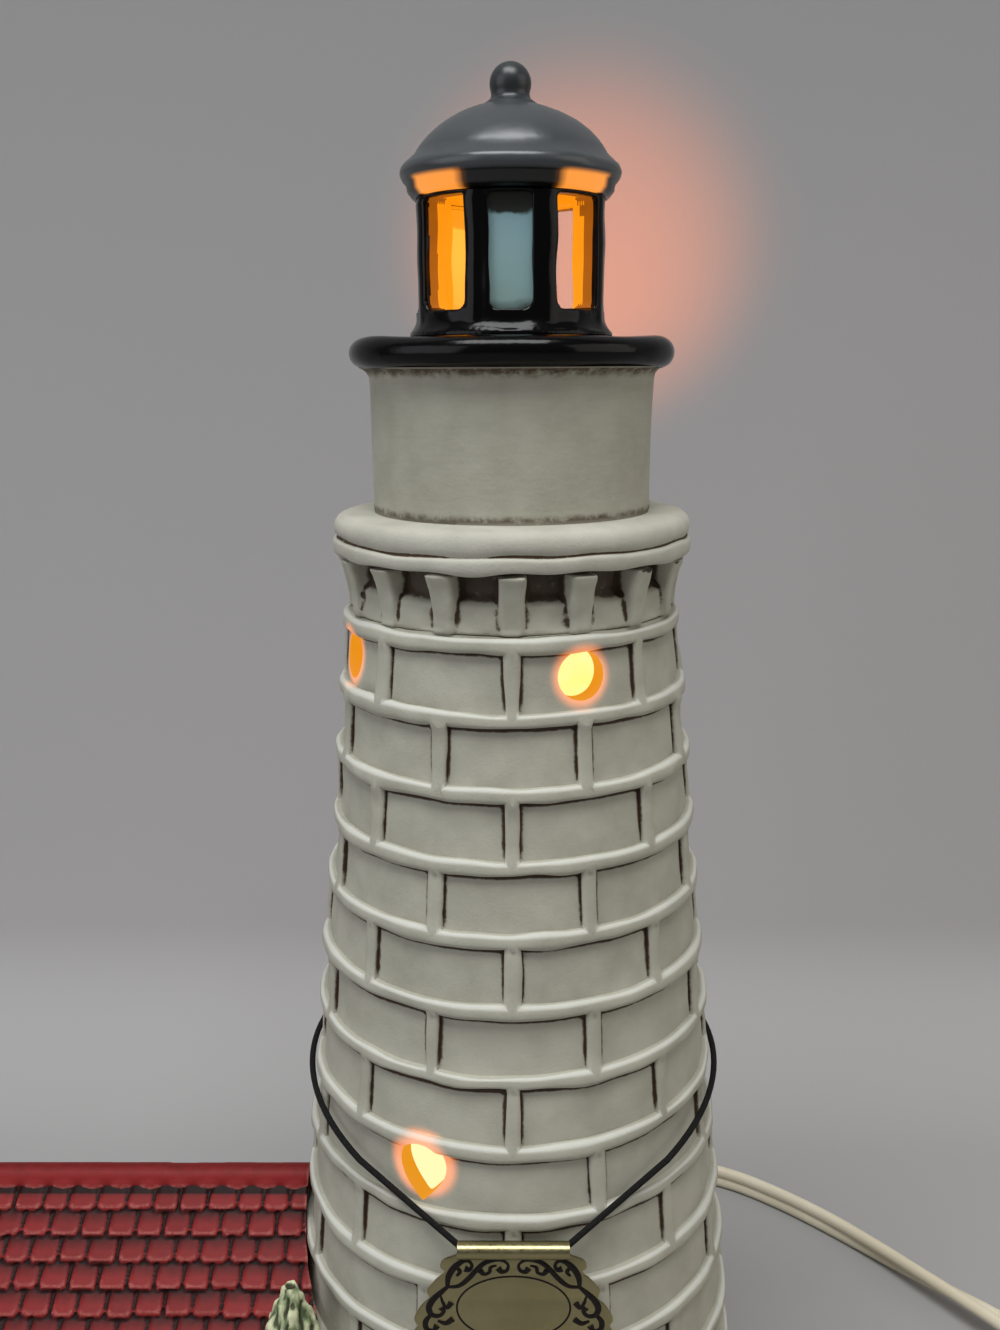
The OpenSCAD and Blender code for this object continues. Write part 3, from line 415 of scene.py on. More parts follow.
def read(parts, field, width=3, kind=float):
    """One row of numbers for each point or edge of a mesh."""
    values = np.empty(len(parts) * width, dtype=kind)
    parts.foreach_get(field, values)
    return values.reshape(-1, width)


def points_of(piece):
    return read(piece.data.vertices, "co")


def normals_of(piece):
    return read(piece.data.vertices, "normal")


def place_points(piece, places):
    piece.data.vertices.foreach_set("co", places.ravel())
    piece.data.update()


def moving(piece):
    """Gives the place of each point in metres, to be changed, and puts them back after the last."""
    places = points_of(piece)
    yield from places
    place_points(piece, places)


def layer(piece, name, values):
    """Stores one number for each point, which a material reads by name."""
    found = piece.data.attributes.get(name) or piece.data.attributes.new(name, "FLOAT", "POINT")
    found.data.foreach_set("value", np.asarray(values, dtype=np.float32))


def weather(piece, reach):
    """Stores how hollow and how proud each point is, for wash in joints and wear on edges."""
    places, normals = points_of(piece), normals_of(piece)
    a, b = read(piece.data.edges, "vertices", 2, np.int64).T
    run = places[b] - places[a]
    size = (run ** 2).sum(1) + 1e-12
    bend, count = np.zeros(len(places)), np.zeros(len(places))
    np.add.at(bend, a, (normals[a] * run).sum(1) / size * MM)
    np.add.at(bend, b, -(normals[b] * run).sum(1) / size * MM)
    np.add.at(count, a, 1)
    np.add.at(count, b, 1)
    count = np.maximum(count, 1)
    bend /= count
    for _ in range(reach):
        total = np.zeros(len(places))
        np.add.at(total, a, bend[b])
        np.add.at(total, b, bend[a])
        bend = 0.5 * bend + 0.5 * total / count
    layer(piece, "hollow", np.clip(bend, 0, 1))
    layer(piece, "proud", np.clip(-bend, 0, 1))


def rumple(piece, size, depth, seed=0.0, where=None):
    """Moves the points along their normals by smooth noise, sizes in mm, as hand finishing does."""
    for place, normal in zip(moving(piece), normals_of(piece)):
        if where is None or where(place / MM):
            swell = noise.noise(Vector(place) / (size * MM) + Vector((seed, 2 * seed, -seed)))
            place += normal * swell * depth * MM


def smooth(piece, angle=None):
    take(piece)
    if angle:
        bpy.ops.object.shade_smooth_by_angle(angle=math.radians(angle))
    else:
        bpy.ops.object.shade_smooth()


def finish(piece, stood_for, slot, *looks, body="root"):
    """Gives a piece its finish, its body and the CAD nodes it stands for."""
    piece.data.materials.clear()
    for look in looks:
        piece.data.materials.append(look.made)
    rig.ride(piece, body)
    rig.replaces(piece, *stood_for)
    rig.slot(piece, slot)


def slots_by_place(piece, rule):
    """Gives each face the material slot that the rule picks from its centre and normal, in mm."""
    for face in piece.data.polygons:
        face.material_index = rule(face.center / MM, face.normal)


def radius_of(place):
    return math.hypot(place[0] - TOWER_X, place[1])


def outwards(place):
    return Vector((place.x - TOWER_X, place.y, 0)).normalized()


# materials
def paint(text):
    """An sRGB hex value as linear colour."""
    parts = [int(text[k:k + 2], 16) / 255 for k in (0, 2, 4)]
    return [c / 12.92 if c <= 0.04045 else ((c + 0.055) / 1.055) ** 2.4 for c in parts] + [1.0]


class Nodes:
    """A tree of shader nodes and short ways to add to it. A colour is an sRGB hex value."""

    def __init__(self, tree):
        self.tree = tree

    def feed(self, node, inputs):
        """Links or sets a node's sockets."""
        for key, value in inputs.items():
            if isinstance(value, bpy.types.NodeSocket):
                self.tree.links.new(value, node.inputs[key])
            else:
                node.inputs[key].default_value = paint(value) if isinstance(value, str) else value

    def add(self, kind, inputs=None, **settings):
        made = self.tree.nodes.new("ShaderNode" + kind)
        for key, value in settings.items():
            setattr(made, key, value)
        self.feed(made, inputs or {})
        return made

    def math(self, operation, a, b=0.0):
        return self.add("Math", {0: a, 1: b}, operation=operation).outputs[0]

    def vector(self, operation, a, b=(0, 0, 0), output="Vector"):
        return self.add("VectorMath", {0: a, 1: b}, operation=operation).outputs[output]

    def fit(self, value, x0, x1, y0=0.0, y1=1.0, **settings):
        """A value between x0 and x1 as one between y0 and y1."""
        return self.add("MapRange", {0: value, 1: x0, 2: x1, 3: y0, 4: y1}, **settings).outputs[0]

    def mix(self, factor, under, over, blend="MIX"):
        inputs = {0: factor, 6: under, 7: over}
        return self.add("Mix", inputs, data_type="RGBA", blend_type=blend).outputs[2]

    def ramp(self, value, *stops):
        made = self.add("ValToRGB", {0: value})
        row = made.color_ramp.elements
        while len(row) < len(stops):
            row.new(0.5)
        for spot, (place, colour) in zip(row, stops):
            spot.position, spot.color = place, paint(colour)
        return made.outputs[0]


class Look(Nodes):
    """A material: its Principled shader and the nodes that feed it, on places in metres."""

    def __init__(self, name):
        self.made = bpy.data.materials.new(name)
        self.made.use_nodes = True
        super().__init__(self.made.node_tree)
        self.skin = self.tree.nodes["Principled BSDF"]
        self.where = self.add("TexCoord").outputs["Object"]

    def wear(self, inputs):
        """Sets or links the shader's own sockets."""
        self.feed(self.skin, inputs)
        return self

    def worn(self, key):
        """What the shader already gets in a socket."""
        return self.skin.inputs[key].links[0].from_socket

    def noise(self, size, detail, rough=0.5, at=None):
        """Cloudy noise with features of a size in mm."""
        inputs = {"Vector": at or self.where, "Scale": 1000 / size, "Detail": detail, "Roughness": rough}
        return self.add("TexNoise", inputs).outputs["Fac"]

    def stored(self, name):
        return self.add("Attribute", attribute_name=name).outputs["Fac"]

    def axis(self, name, vector=None):
        return self.add("SeparateXYZ", {0: vector or self.where}).outputs[name]

    def scaled(self, x, y, z):
        return self.add("Mapping", {"Vector": self.where, "Scale": (x, y, z)}).outputs[0]

    def bump(self, height, strength, depth, under=None):
        """A bumpy normal, its depth in mm."""
        inputs = {"Height": height, "Strength": strength, "Distance": depth * MM}
        if under:
            inputs["Normal"] = under
        return self.add("Bump", inputs).outputs["Normal"]


def stained_bisque(name, base, shade, wash, reach=(0.02, 0.16), grain=0.35, rough=0.72, patchy=(0.25, 1.5),
                   crest=None, halos=()):
    """Bisque brushed with matte stain, then rubbed back: it stays dark in the joints, pale on the crests, where a
    crest colour can also stand as a painted highlight.
    The eye sees chalky unglazed clay, soft mottling a few mm wide and a fine sandy grain.
    A halo is a painted glow of the lamp round a light hole, made by emission: its middle, and its radius in mm."""
    look = Look(name)
    mottle = look.noise(7, 4.0, 0.6)
    ground = look.mix(look.ramp(mottle, (0.38, "000000"), (0.66, "ffffff")), base, shade)
    thick = look.fit(look.noise(1.6, 5.0, 0.75), 0.3, 0.7, *patchy)
    held = look.math("MULTIPLY", look.stored("hollow"), thick)
    washed = look.mix(look.fit(held, *reach, interpolation_type="SMOOTHSTEP"), ground, wash)
    # pale crests: rubbed-off stain, and a painted highlight where the proud layer marks only the lit tops
    wiped_and_highlit = look.mix(look.fit(look.stored("proud"), 0.05, 0.3, 0.0, 0.55), washed, crest or base)
    relief = look.bump(look.noise(grain, 2.0), 0.35, 0.12)
    look.wear({"Base Color": wiped_and_highlit, "Normal": look.bump(mottle, 0.3, 0.5, relief), "Roughness": rough})
    # painted glow: emission in the bisque round each light hole stands in for the lamp's light spilling out
    glow = 0.0
    for centre, size in halos:
        away = look.vector("DISTANCE", look.where, centre, "Value")
        near = look.fit(away, (size + 2.4) * MM, size * MM, interpolation_type="SMOOTHERSTEP")
        glow = look.math("MAXIMUM", glow, near)
    if halos:
        look.wear({"Emission Strength": glow, "Emission Color": "e87a30"})
    return look


def glaze(name, base, shade, rough=0.22, coat=0.1, shine=0.5, eave=None):
    """Gloss glaze over clay: a deep even colour that pools a little, and a wavy wet shine.
    An eave is a darker colour underneath, where the lantern's light is painted on it as orange emission."""
    look = Look(name)
    body = look.mix(look.noise(6, 3.0), base, shade)
    if eave:
        body = look.mix(look.stored("under"), body, eave)
        # painted light: the eave's underside glows orange by emission where the lamp's light would fall
        look.wear({"Emission Strength": look.stored("lit"), "Emission Color": "ff9c3c"})
    relief = look.bump(look.noise(2.4, 2.0), 0.25, 0.25)
    return look.wear({"Base Color": body, "Normal": relief, "Roughness": rough, "Specular IOR Level": shine,
                      "Coat Weight": coat, "Coat Roughness": 0.12})


def lamplit(name, low, high, z0, z1, strength):
    """Bare clay inside the lamp, lit by the bulb: it reads as its own warm light."""
    look = Look(name)
    glow = look.mix(look.fit(look.axis("Z"), z0 * MM, z1 * MM), low, high)
    return look.wear({"Emission Color": look.mix(look.noise(4, 3.0), glow, low), "Base Color": "2e1a0a",
                      "Emission Strength": strength, "Roughness": 0.8})


# camera, lights, floor
SENSOR, FOCAL_PIXELS, PHOTO_PIXELS = 36, 1248, 1330
cam_data = bpy.data.cameras.new("camera")
cam_data.sensor_width = SENSOR
cam_data.lens = SENSOR * FOCAL_PIXELS / PHOTO_PIXELS
camera = bpy.data.objects.new("camera", cam_data)
camera.location = (28 * MM, -196.35 * MM, 205 * MM)
camera.rotation_euler = [math.radians(a) for a in (76.5, 0.272, 0.495)]
cam_data.clip_start, cam_data.clip_end = 0.01, 20
bpy.context.collection.objects.link(camera)
bpy.context.scene.camera = camera
bpy.context.scene.view_settings.view_transform = "Standard"


def lamp(name, kind, place, target, power, size, colour, **settings):
    data = bpy.data.lights.new(name, kind)
    data.energy = power
    data.color = paint(colour)[:3]
    if kind == "AREA":
        data.shape, data.size, data.size_y = "RECTANGLE", size[0], size[1]
    else:
        data.shadow_soft_size = size
    for key, value in settings.items():
        setattr(data, key, value)
    made = bpy.data.objects.new(name, data)
    made.location = place
    made.rotation_euler = (Vector(target) - Vector(place)).to_track_quat("-Z", "Y").to_euler()
    made.visible_camera = False
    bpy.context.collection.objects.link(made)


lamp("window_light", "AREA", (-0.03, -0.32, 1.0), (0.03, 0, 0.14), 8.7, (0.72, 0.38), "fcfeff")
lamp("left_fill", "AREA", (-0.8, -0.5, 0.45), (0.02, 0, 0.1), 2.9, (0.8, 0.8), "f6f7ff")
lamp("right_fill", "AREA", (0.9, -0.3, 0.45), (0.02, 0, 0.1), 2.2, (0.8, 0.8), "fff6f0")
lamp("lantern_glow", "POINT", point(28, 0, 221), (0, 0, 0), 0.008, 3 * MM, "ff7a28")
lamp("rear_window_glow", "SPOT", on_tower(152, 19, 221), (0.046, 0.143, 0.234), 1.0, 5 * MM, "ff7e0c",
     spot_size=math.radians(46), spot_blend=1.0)

world = bpy.data.worlds.new("studio")
bpy.context.scene.world = world
world.use_nodes = True
sky = Nodes(world.node_tree)
sky.tree.nodes.clear()
ray = sky.add("LightPath")
seen = sky.math("MAXIMUM", ray.outputs["Is Camera Ray"], ray.outputs["Is Transmission Ray"])
room_light = sky.add("Background", {"Color": "dcdee0", "Strength": 0.19})
room_seen = sky.add("Background", {"Color": "b4b4b6", "Strength": 1.0})
both = sky.add("MixShader", {0: seen, 1: room_light.outputs[0], 2: room_seen.outputs[0]})
sky.add("OutputWorld", {"Surface": both.outputs[0]})


def pale_paper():
    """Matt studio paper: a slightly cloudy pale grey, with painted shade darkening it up the wall. From behind it
    isn't there.
    """
    look = Look("pale_paper")
    low = look.mix(look.noise(1000 / 3, 2.0), "adabab", "bab7b6")
    # painted shade: the paper darkens from 20 mm to 300 mm up the wall
    tone = look.mix(look.fit(look.axis("Z"), 0.02, 0.30), low, "8a8989")
    level = look.axis("Z", look.add("NewGeometry").outputs["Normal"])
    look.wear({"Base Color": look.mix(level, tone, "a09f9e"), "Roughness": 0.9, "Specular IOR Level": 0.1})
    away = look.add("NewGeometry").outputs["Backfacing"]
    gone = look.add("BsdfTransparent").outputs[0]
    both = look.add("MixShader", {0: away, 1: look.skin.outputs[0], 2: gone})
    look.feed(look.tree.nodes["Material Output"], {"Surface": both.outputs[0]})
    return look.made


def backdrop():
    """A pale paper sweep: floor, a round bend behind the lamp, and a wall that is open from behind."""
    clear()
    bend, steps, back, wall_h = 0.045, 12, 0.098, 1.6
    bpy.ops.mesh.primitive_plane_add(size=1, location=(0.02, back - 1, 0))
    sweep = settle("paper_sweep", (5000, 2000, 1000))
    edit(sweep)
    for k in range(steps):
        a, b = math.radians(90 * k / steps), math.radians(90 * (k + 1) / steps)
        choose(sweep, "edges", lambda e: all(v.co.y > back - 1e-6 for v in e.verts) and e.is_boundary
               and abs(e.verts[0].co.y - e.verts[1].co.y) < 1e-6)
        step = (0, bend * (math.sin(b) - math.sin(a)), bend * (math.cos(a) - math.cos(b)))
        extrude(step)
        back += step[1]
    extrude((0, 0, wall_h))
    bpy.ops.mesh.select_all(action="SELECT")
    bpy.ops.mesh.normals_make_consistent(inside=False)
    leave()
    if max(sweep.data.polygons, key=lambda f: f.area).normal.z < 0:
        sweep.data.flip_normals()
    smooth(sweep)
    sweep.data.materials.append(pale_paper())
    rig.stage(sweep)


backdrop()

# lead: one flat twin lead in two stretches, each stop a place in mm and a turn in degrees
LEAD_T, LEAD_W, GROOVE = 2.7, 5.4, 0.68
COIL_STEP, COIL_IN, COIL_TURNS, COIL_LIFT = 3.3, 25.0, 7.25, 6.0
COIL_OUT = COIL_IN + COIL_STEP * COIL_TURNS / 2
COIL_X, COIL_Y = 136 - COIL_OUT, -57.0
TAIL_Y, PLUG_X = COIL_Y - COIL_OUT, 136 - COIL_OUT - 26
INSIDE = [(28, 11, 9, 0), (28, 16, 9, 0), (28, 27, 6.2, 0), (28, 36, 3.2, 0), (28, 43, 2.7, 0),
          (28, 49, 2.7, 0)]
RUN = [(28, 49, 2.7, 0), (28, 58, 2.7, 0), (30, 68, 2.7, 0), (35, 76, 2.7, 0), (43, 82.5, 2.7, 0),
       (53, 86.6, 2.7, 0), (64, 88, 2.7, 0), (74, 87, 2.7, 0), (84, 83, 2.7, 0), (94, 76, 2.7, 0),
       (104, 67, 2.7, 0), (113, 57, 3, 15), (121, 46.5, 4, 35), (127.5, 38, 5, 60), (133, 30, 6, 80),
       (136, 24, 6.5, 90), (136, 19, 6.5, 90)]
FEED = [(136, -27.2, 6.5, 90), (136, -33, 6.3, 80), (136, -39, 4.6, 50), (136, -45, 3.2, 20),
        (136, -51, 2.7, 0), (136, -57, 2.7, 0)]
TAIL = [(COIL_X, TAIL_Y, 8.7, 0), (COIL_X - 6, TAIL_Y, 8.6, 10), (COIL_X - 13, TAIL_Y, 8, 45),
        (COIL_X - 20, TAIL_Y, 7.5, 80), (PLUG_X, TAIL_Y, 7.5, 90)]


def coil_route(steps):
    """The coil, so many steps to a turn: in towards the middle, up, and out again on top."""
    route = []
    for k in range(round(COIL_TURNS * steps) + 1):
        u, half = k / steps, COIL_TURNS / 2
        r = COIL_IN + COIL_STEP * abs(u - half)
        rise = min(max((u - half + 0.25) * 2, 0), 1)
        rise = rise * rise * (3 - 2 * rise)
        a = -2 * math.pi * u
        route.append((COIL_X + r * math.cos(a), COIL_Y + r * math.sin(a), LEAD_T + COIL_LIFT * rise, 0))
    return route


def flowing(points, count=None, spacing=3.0):
    """More points on a smooth curve through a few: so many to each, or one every few mm."""
    q = [np.array(p, dtype=float) for p in points]
    q = [2 * q[0] - q[1]] + q + [2 * q[-1] - q[-2]]
    made = []
    for a, b, c, d in zip(q, q[1:], q[2:], q[3:]):
        steps = count or max(1, round(float(np.linalg.norm(c[:3] - b[:3])) / spacing))
        for k in range(steps):
            t = k / steps
            made.append(0.5 * (2 * b + (c - a) * t + (2 * a - 5 * b + 4 * c - d) * t * t
                               + (3 * b - a - 3 * c + d) * t ** 3))
    return made + [q[-2]]


def lead(name, route):
    """Twin lead along a route: two round cores side by side with a groove between."""
    lobe = LEAD_T / 2
    half = oval_arc(lobe, lobe, lobe, (-42, 0, 40, 75, 105, 140, 180, 222))
    outline = [(GROOVE, 0)] + half + [(-GROOVE, 0)] + [(-x, -z) for x, z in half]
    path = [Vector(p[:3]) * MM for p in route]
    mesh = bmesh.new()
    rings = []
    for k, spot in enumerate(path):
        ahead = (path[min(k + 1, len(path) - 1)] - path[max(k - 1, 0)]).normalized()
        side = Vector((0, 0, 1)).cross(ahead).normalized()
        up = ahead.cross(side)
        turn = math.radians(route[k][3])
        rings.append([mesh.verts.new(spot + side * (x * math.cos(turn) - z * math.sin(turn)) * MM
                                     + up * (x * math.sin(turn) + z * math.cos(turn)) * MM)
                      for x, z in outline])
    for low, high in zip(rings, rings[1:]):
        for k in range(len(outline)):
            n = (k + 1) % len(outline)
            mesh.faces.new((low[k], low[n], high[n], high[k]))
    mesh.faces.new(rings[0][::-1])
    mesh.faces.new(rings[-1])
    bmesh.ops.recalc_face_normals(mesh, faces=mesh.faces)
    data = bpy.data.meshes.new(name)
    mesh.to_mesh(data)
    mesh.free()
    piece = bpy.data.objects.new(name, data)
    bpy.context.collection.objects.link(piece)
    smooth(piece, 50)
    return piece, path, sum((b - a).length for a, b in zip(path, path[1:]))


def lead_pvc():
    """Ivory PVC, extruded: satin, slightly see-through, with faint drag lines and a little grime."""
    look = Look("ivory_pvc_lead")
    return look.wear({"Base Color": look.mix(look.noise(14, 3.0), "e6dfc9", "d3c7ab"),
                      "Normal": look.bump(look.noise(0.8, 2.0), 0.15, 0.1), "Roughness": 0.38,
                      "Subsurface Weight": 0.12, "Subsurface Radius": (0.002, 0.0015, 0.001)})


PVC = lead_pvc()
inner, _, _ = lead("lead_in_base", flowing(INSIDE))
finish(inner, ["lead_inside"], "lead_ivory", PVC)
run, run_path, run_length = lead("lead_to_switch", flowing(RUN))
finish(run, ["lead_run"], "lead_ivory", PVC)
feed, feed_path, feed_length = lead("lead_to_plug", flowing(FEED)[:-1] + coil_route(36) + flowing(TAIL)[1:])
finish(feed, ["lead_feed", "lead_coil", "lead_tail"], "lead_ivory", PVC)
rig.cord(run, exit=run_path[0], length=run_length, diameter=LEAD_W * MM, far_end="fitting",
        stiffness="medium", lay="loose", path=run_path,
        with_pieces=[nodes[n] for n in ("switch_bottom", "switch_top", "switch_wheel",
                                        "switch_contacts", "switch_screw")])
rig.cord(feed, exit=feed_path[0], length=feed_length, diameter=LEAD_W * MM, far_end="plug",
        stiffness="medium", lay="coiled", path=feed_path,
        with_pieces=[nodes[n] for n in ("plug_body", "plug_blades")])


# finishes of the castings
# painted glow round the four ports and the drop-shaped hole
HALOS = [(on_tower(a, 27.3, z), 3.3) for a, z in PORTS] + [(on_tower(DROP_A, 31.6, DROP_Z), 4.2)]
# the crest colour here is rubbed stain and a painted highlight on the tops of rings and ribs
BISQUE = stained_bisque("antiqued_cream_bisque", "adab9c", "a19f90", "38230f", reach=(0.3, 0.72),
                        patchy=(0.72, 1.3), crest="d4d5cd", halos=HALOS)
GALLERY_BISQUE = stained_bisque("antiqued_gallery_bisque", "b6b4a7", "a8a698", "4a3722", reach=(0.1, 0.4))
INSIDE_LIT = lamplit("lamplit_clay", "fff0b0", "fff060", 70, 150, 1.1)
JAMB = lamplit("lamplit_jamb", "e8940c", "f09018", 80, 160, 0.95)
LANTERN_LINING = lamplit("lamplit_lantern", "ff9c14", "f48404", 210, 229, 1.0)
LANTERN_JAMB = lamplit("lamplit_lantern_jamb", "b8660c", "8a4606", 210, 229, 0.8)
BLACK = glaze("black_gloss_glaze", "030202", "050404", rough=0.18, coat=0.0, shine=0.18)
GREY = glaze("grey_gloss_glaze", "383c3e", "414547", rough=0.3, coat=0.06, shine=0.45, eave="080706")
DARK_GREY = glaze("dark_grey_gloss_glaze", "262a2b", "2d3132", rough=0.36, coat=0.05, shine=0.4)

# tower
RING_W, RIB_W, WASH_W = 2.4, 2.5, 0.75
COLUMN, RIB_STEP = 2.25, 22.5
RINGS = [ring_z(i) for i in range(15) if ring_z(i) > BASE_TOP + 2.5]


def on_rib(place):
    """True on the raised strip between two blocks of a course."""
    z = place.z / MM
    above = [i for i, level in enumerate(RINGS) if level > z]
    if not above:
        return False
    course = above[-1]
    low = RINGS[course + 1] if course + 1 < len(RINGS) else BASE_TOP
    a = bearing_of(place)
    if low < DROP_Z < RINGS[course] and apart(a, DROP_A) < 12:
        return False
    return any(apart(a, (k + (course % 2) / 2) * 45) < 2.3 for k in range(8))


def under(i):
    """How far the dark line runs down under a ring: wash in the crease plus painted shade under the ring, drawn wider
    further down the tower, where the shaft is fatter.
    """
    return 0.08 + 0.045 * i


def net_line(z):
    """The level of the nearest ring, and how far above its middle z lies."""
    level = min(RINGS, key=lambda r: abs(r - z))
    return level, z - level


def proud_of(place):
    """How far a place in metres stands out of the tower's wall, in mm."""
    return radius_of(place / MM) - face_r(place[2] / MM)


def pulled(v):
    return proud_of(v.co) > 0.6


def part_pulled(corners):
    return 0 < sum(pulled(v) for v in corners) < len(corners)


def net_of_blocks():
    """The tower's outside: a cone with a net of rings and ribs pulled out of it."""
    shaft = cone("tower_of_blocks", BASE_TOP, face_r(BASE_TOP), SHAFT_TOP, face_r(SHAFT_TOP), 160)
    levels = []
    for i, level in enumerate(RINGS):
        foot, head = level - RING_W / 2, level + RING_W / 2
        levels += [foot, head, foot - under(i), foot - under(i) - 0.6, head + 0.5, level - 4.6, level - 7.2]
    sliced(shaft, [z for z in levels if BASE_TOP + 0.3 < z < SHAFT_TOP - 0.2])
    # the two columns on each side of a rib's middle move to the rib's edge and to the wash beside it
    for place in moving(shaft):
        r, a = radius_of(place / MM), bearing_of(place)
        middle = round(a / RIB_STEP) * RIB_STEP
        column = round(abs(a - middle) / COLUMN)
        if column in (1, 2):
            off = RIB_W / 2 + (column - 1) * WASH_W
            place[:] = on_tower(middle + math.copysign(math.degrees(off / r), a - middle), r, place[2] / MM)
    edit(shaft)
    choose(shaft, "faces", lambda f: abs(net_line(f.calc_center_median().z / MM)[1]) < RING_W / 2
           or on_rib(f.calc_center_median()))
    bpy.ops.mesh.extrude_region_shrink_fatten(TRANSFORM_OT_shrink_fatten={"value": RING_PROUD * MM})
    leave()
    stain_and_shade_joints(shaft)
    edit(shaft)
    choose(shaft, "edges", lambda e: all(pulled(v) for v in e.verts)
           and sum(part_pulled(f.verts) for f in e.link_faces) == 1)
    bpy.ops.mesh.bevel(offset=0.8 * MM, segments=3, affect="EDGES", clamp_overlap=False)
    leave()
    # ribs stand a little lower than rings
    for place in moving(shaft):
        over = abs(net_line(place[2] / MM)[1]) - RING_W / 2
        proud = proud_of(place)
        if over > 0.1 and proud > 0.1:
            place[:] = on_tower(bearing_of(place), radius_of(place / MM) - proud * 0.25, place[2] / MM)
    # painted highlight with rubbed stain: only the upward-facing tops of rings and ribs are marked proud, so they take
    # the pale crest colour as if lit from above
    layer(shaft, "proud", [0.3 if pulled(v) and v.normal.z > 0.25 else 0.0 for v in shaft.data.vertices])
    rumple(shaft, 16, 0.5, 3.0)
    rumple(shaft, 5, 0.28, 8.0)
    for place in moving(shaft):
        place[2] += noise.noise(Vector(place) / (7 * MM)) * 0.28 * MM
    return shaft


def stain_and_shade_joints(shaft):
    """Wash and painted shade lie thick under each ring; wash lies thinner round the rest of each block."""
    points = shaft.data.vertices
    foot = {i for f in shaft.data.polygons if part_pulled([points[k] for k in f.vertices])
            for i in f.vertices}
    wash = np.zeros(len(points))
    for v in points:
        level, over = net_line(v.co.z / MM)
        if not pulled(v):
            # wash with painted shade: a full-strength dark band under each ring, wider on the lower rings
            if -RING_W / 2 - under(RINGS.index(level)) - 0.1 < over < 0:
                wash[v.index] = 1.0
            elif v.index in foot:
                wash[v.index] = 0.2 if 0 < over < RING_W / 2 + 0.2 else (0.62 if 0 < over < 2.2 else 0.92)
    layer(shaft, "hollow", wash)


def drop_cutter():
    """A round rod with its lower half drawn out to a point, for the drop-shaped light hole."""
    drop = rod("drop", on_tower(DROP_A, 15, DROP_Z), on_tower(DROP_A, 44, DROP_Z), DROP_R, 40)
    side = np.array([math.cos(math.radians(DROP_A)), math.sin(math.radians(DROP_A))])
    for place in moving(drop):
        down = (DROP_Z - place[2] / MM) / DROP_R
        if down > 0:
            place[:2] -= side * ((place[:2] - (TOWER_X * MM, 0)) @ side) * 0.62 * down ** 3
            place[2] -= (DROP_DOWN - DROP_R) * MM * down ** 2
    return drop


def tower():
    """The shaft with its lining, its light holes cut through, and its lamplit inside."""
    lining = cone("lining", BASE_TOP, face_r(BASE_TOP) - WALL, SHAFT_TOP, face_r(SHAFT_TOP) - WALL, 64)
    sliced(lining, [BASE_TOP + (SHAFT_TOP - BASE_TOP) * k / 12 for k in range(1, 12)])
    lining.data.flip_normals()
    shaft = join("tower_of_blocks", [lining, net_of_blocks()])
    edit(shaft)
    for end in (BASE_TOP, SHAFT_TOP):
        choose(shaft, "edges", lambda e: e.is_boundary and all(abs(v.co.z / MM - end) < 2.0 for v in e.verts))
        bpy.ops.mesh.bridge_edge_loops()
    leave()
    tidy(shaft)
    holes = [rod("hole", on_tower(a, 15, z), on_tower(a, 34, z), HOLE_R, 40) for a, z in PORTS]
    cut(shaft, *holes, drop_cutter())
    smooth(shaft, 50)
    finish(shaft, ["tower_shaft"], "bisque", BISQUE, INSIDE_LIT, JAMB)
    openings = [(a, z, 3.75, 3.75) for a, z in PORTS] + [(DROP_A, DROP_Z, 4.1, 6.3)]

    def rule(place, normal):
        """1 on the lamplit inside, 2 on the sides of a hole."""
        if face_r(place.z) - radius_of(place) > 2.6 and normal.dot(outwards(place)) < -0.5:
            return 1
        for a, z, across, tall in openings:
            axis = (on_tower(a, 1, 0) - on_tower(a, 0, 0)) / MM
            off = place - on_tower(a, 0, z) / MM
            if off.dot(axis) > 0 and abs(normal.dot(axis)) < 0.5 \
                    and math.hypot(off.cross(axis).z / across, off.z / (tall if off.z < 0 else across)) < 1.0:
                return 2
        return 0

    slots_by_place(shaft, rule)


tower()


# corbels and galleries
CORBELS = 16


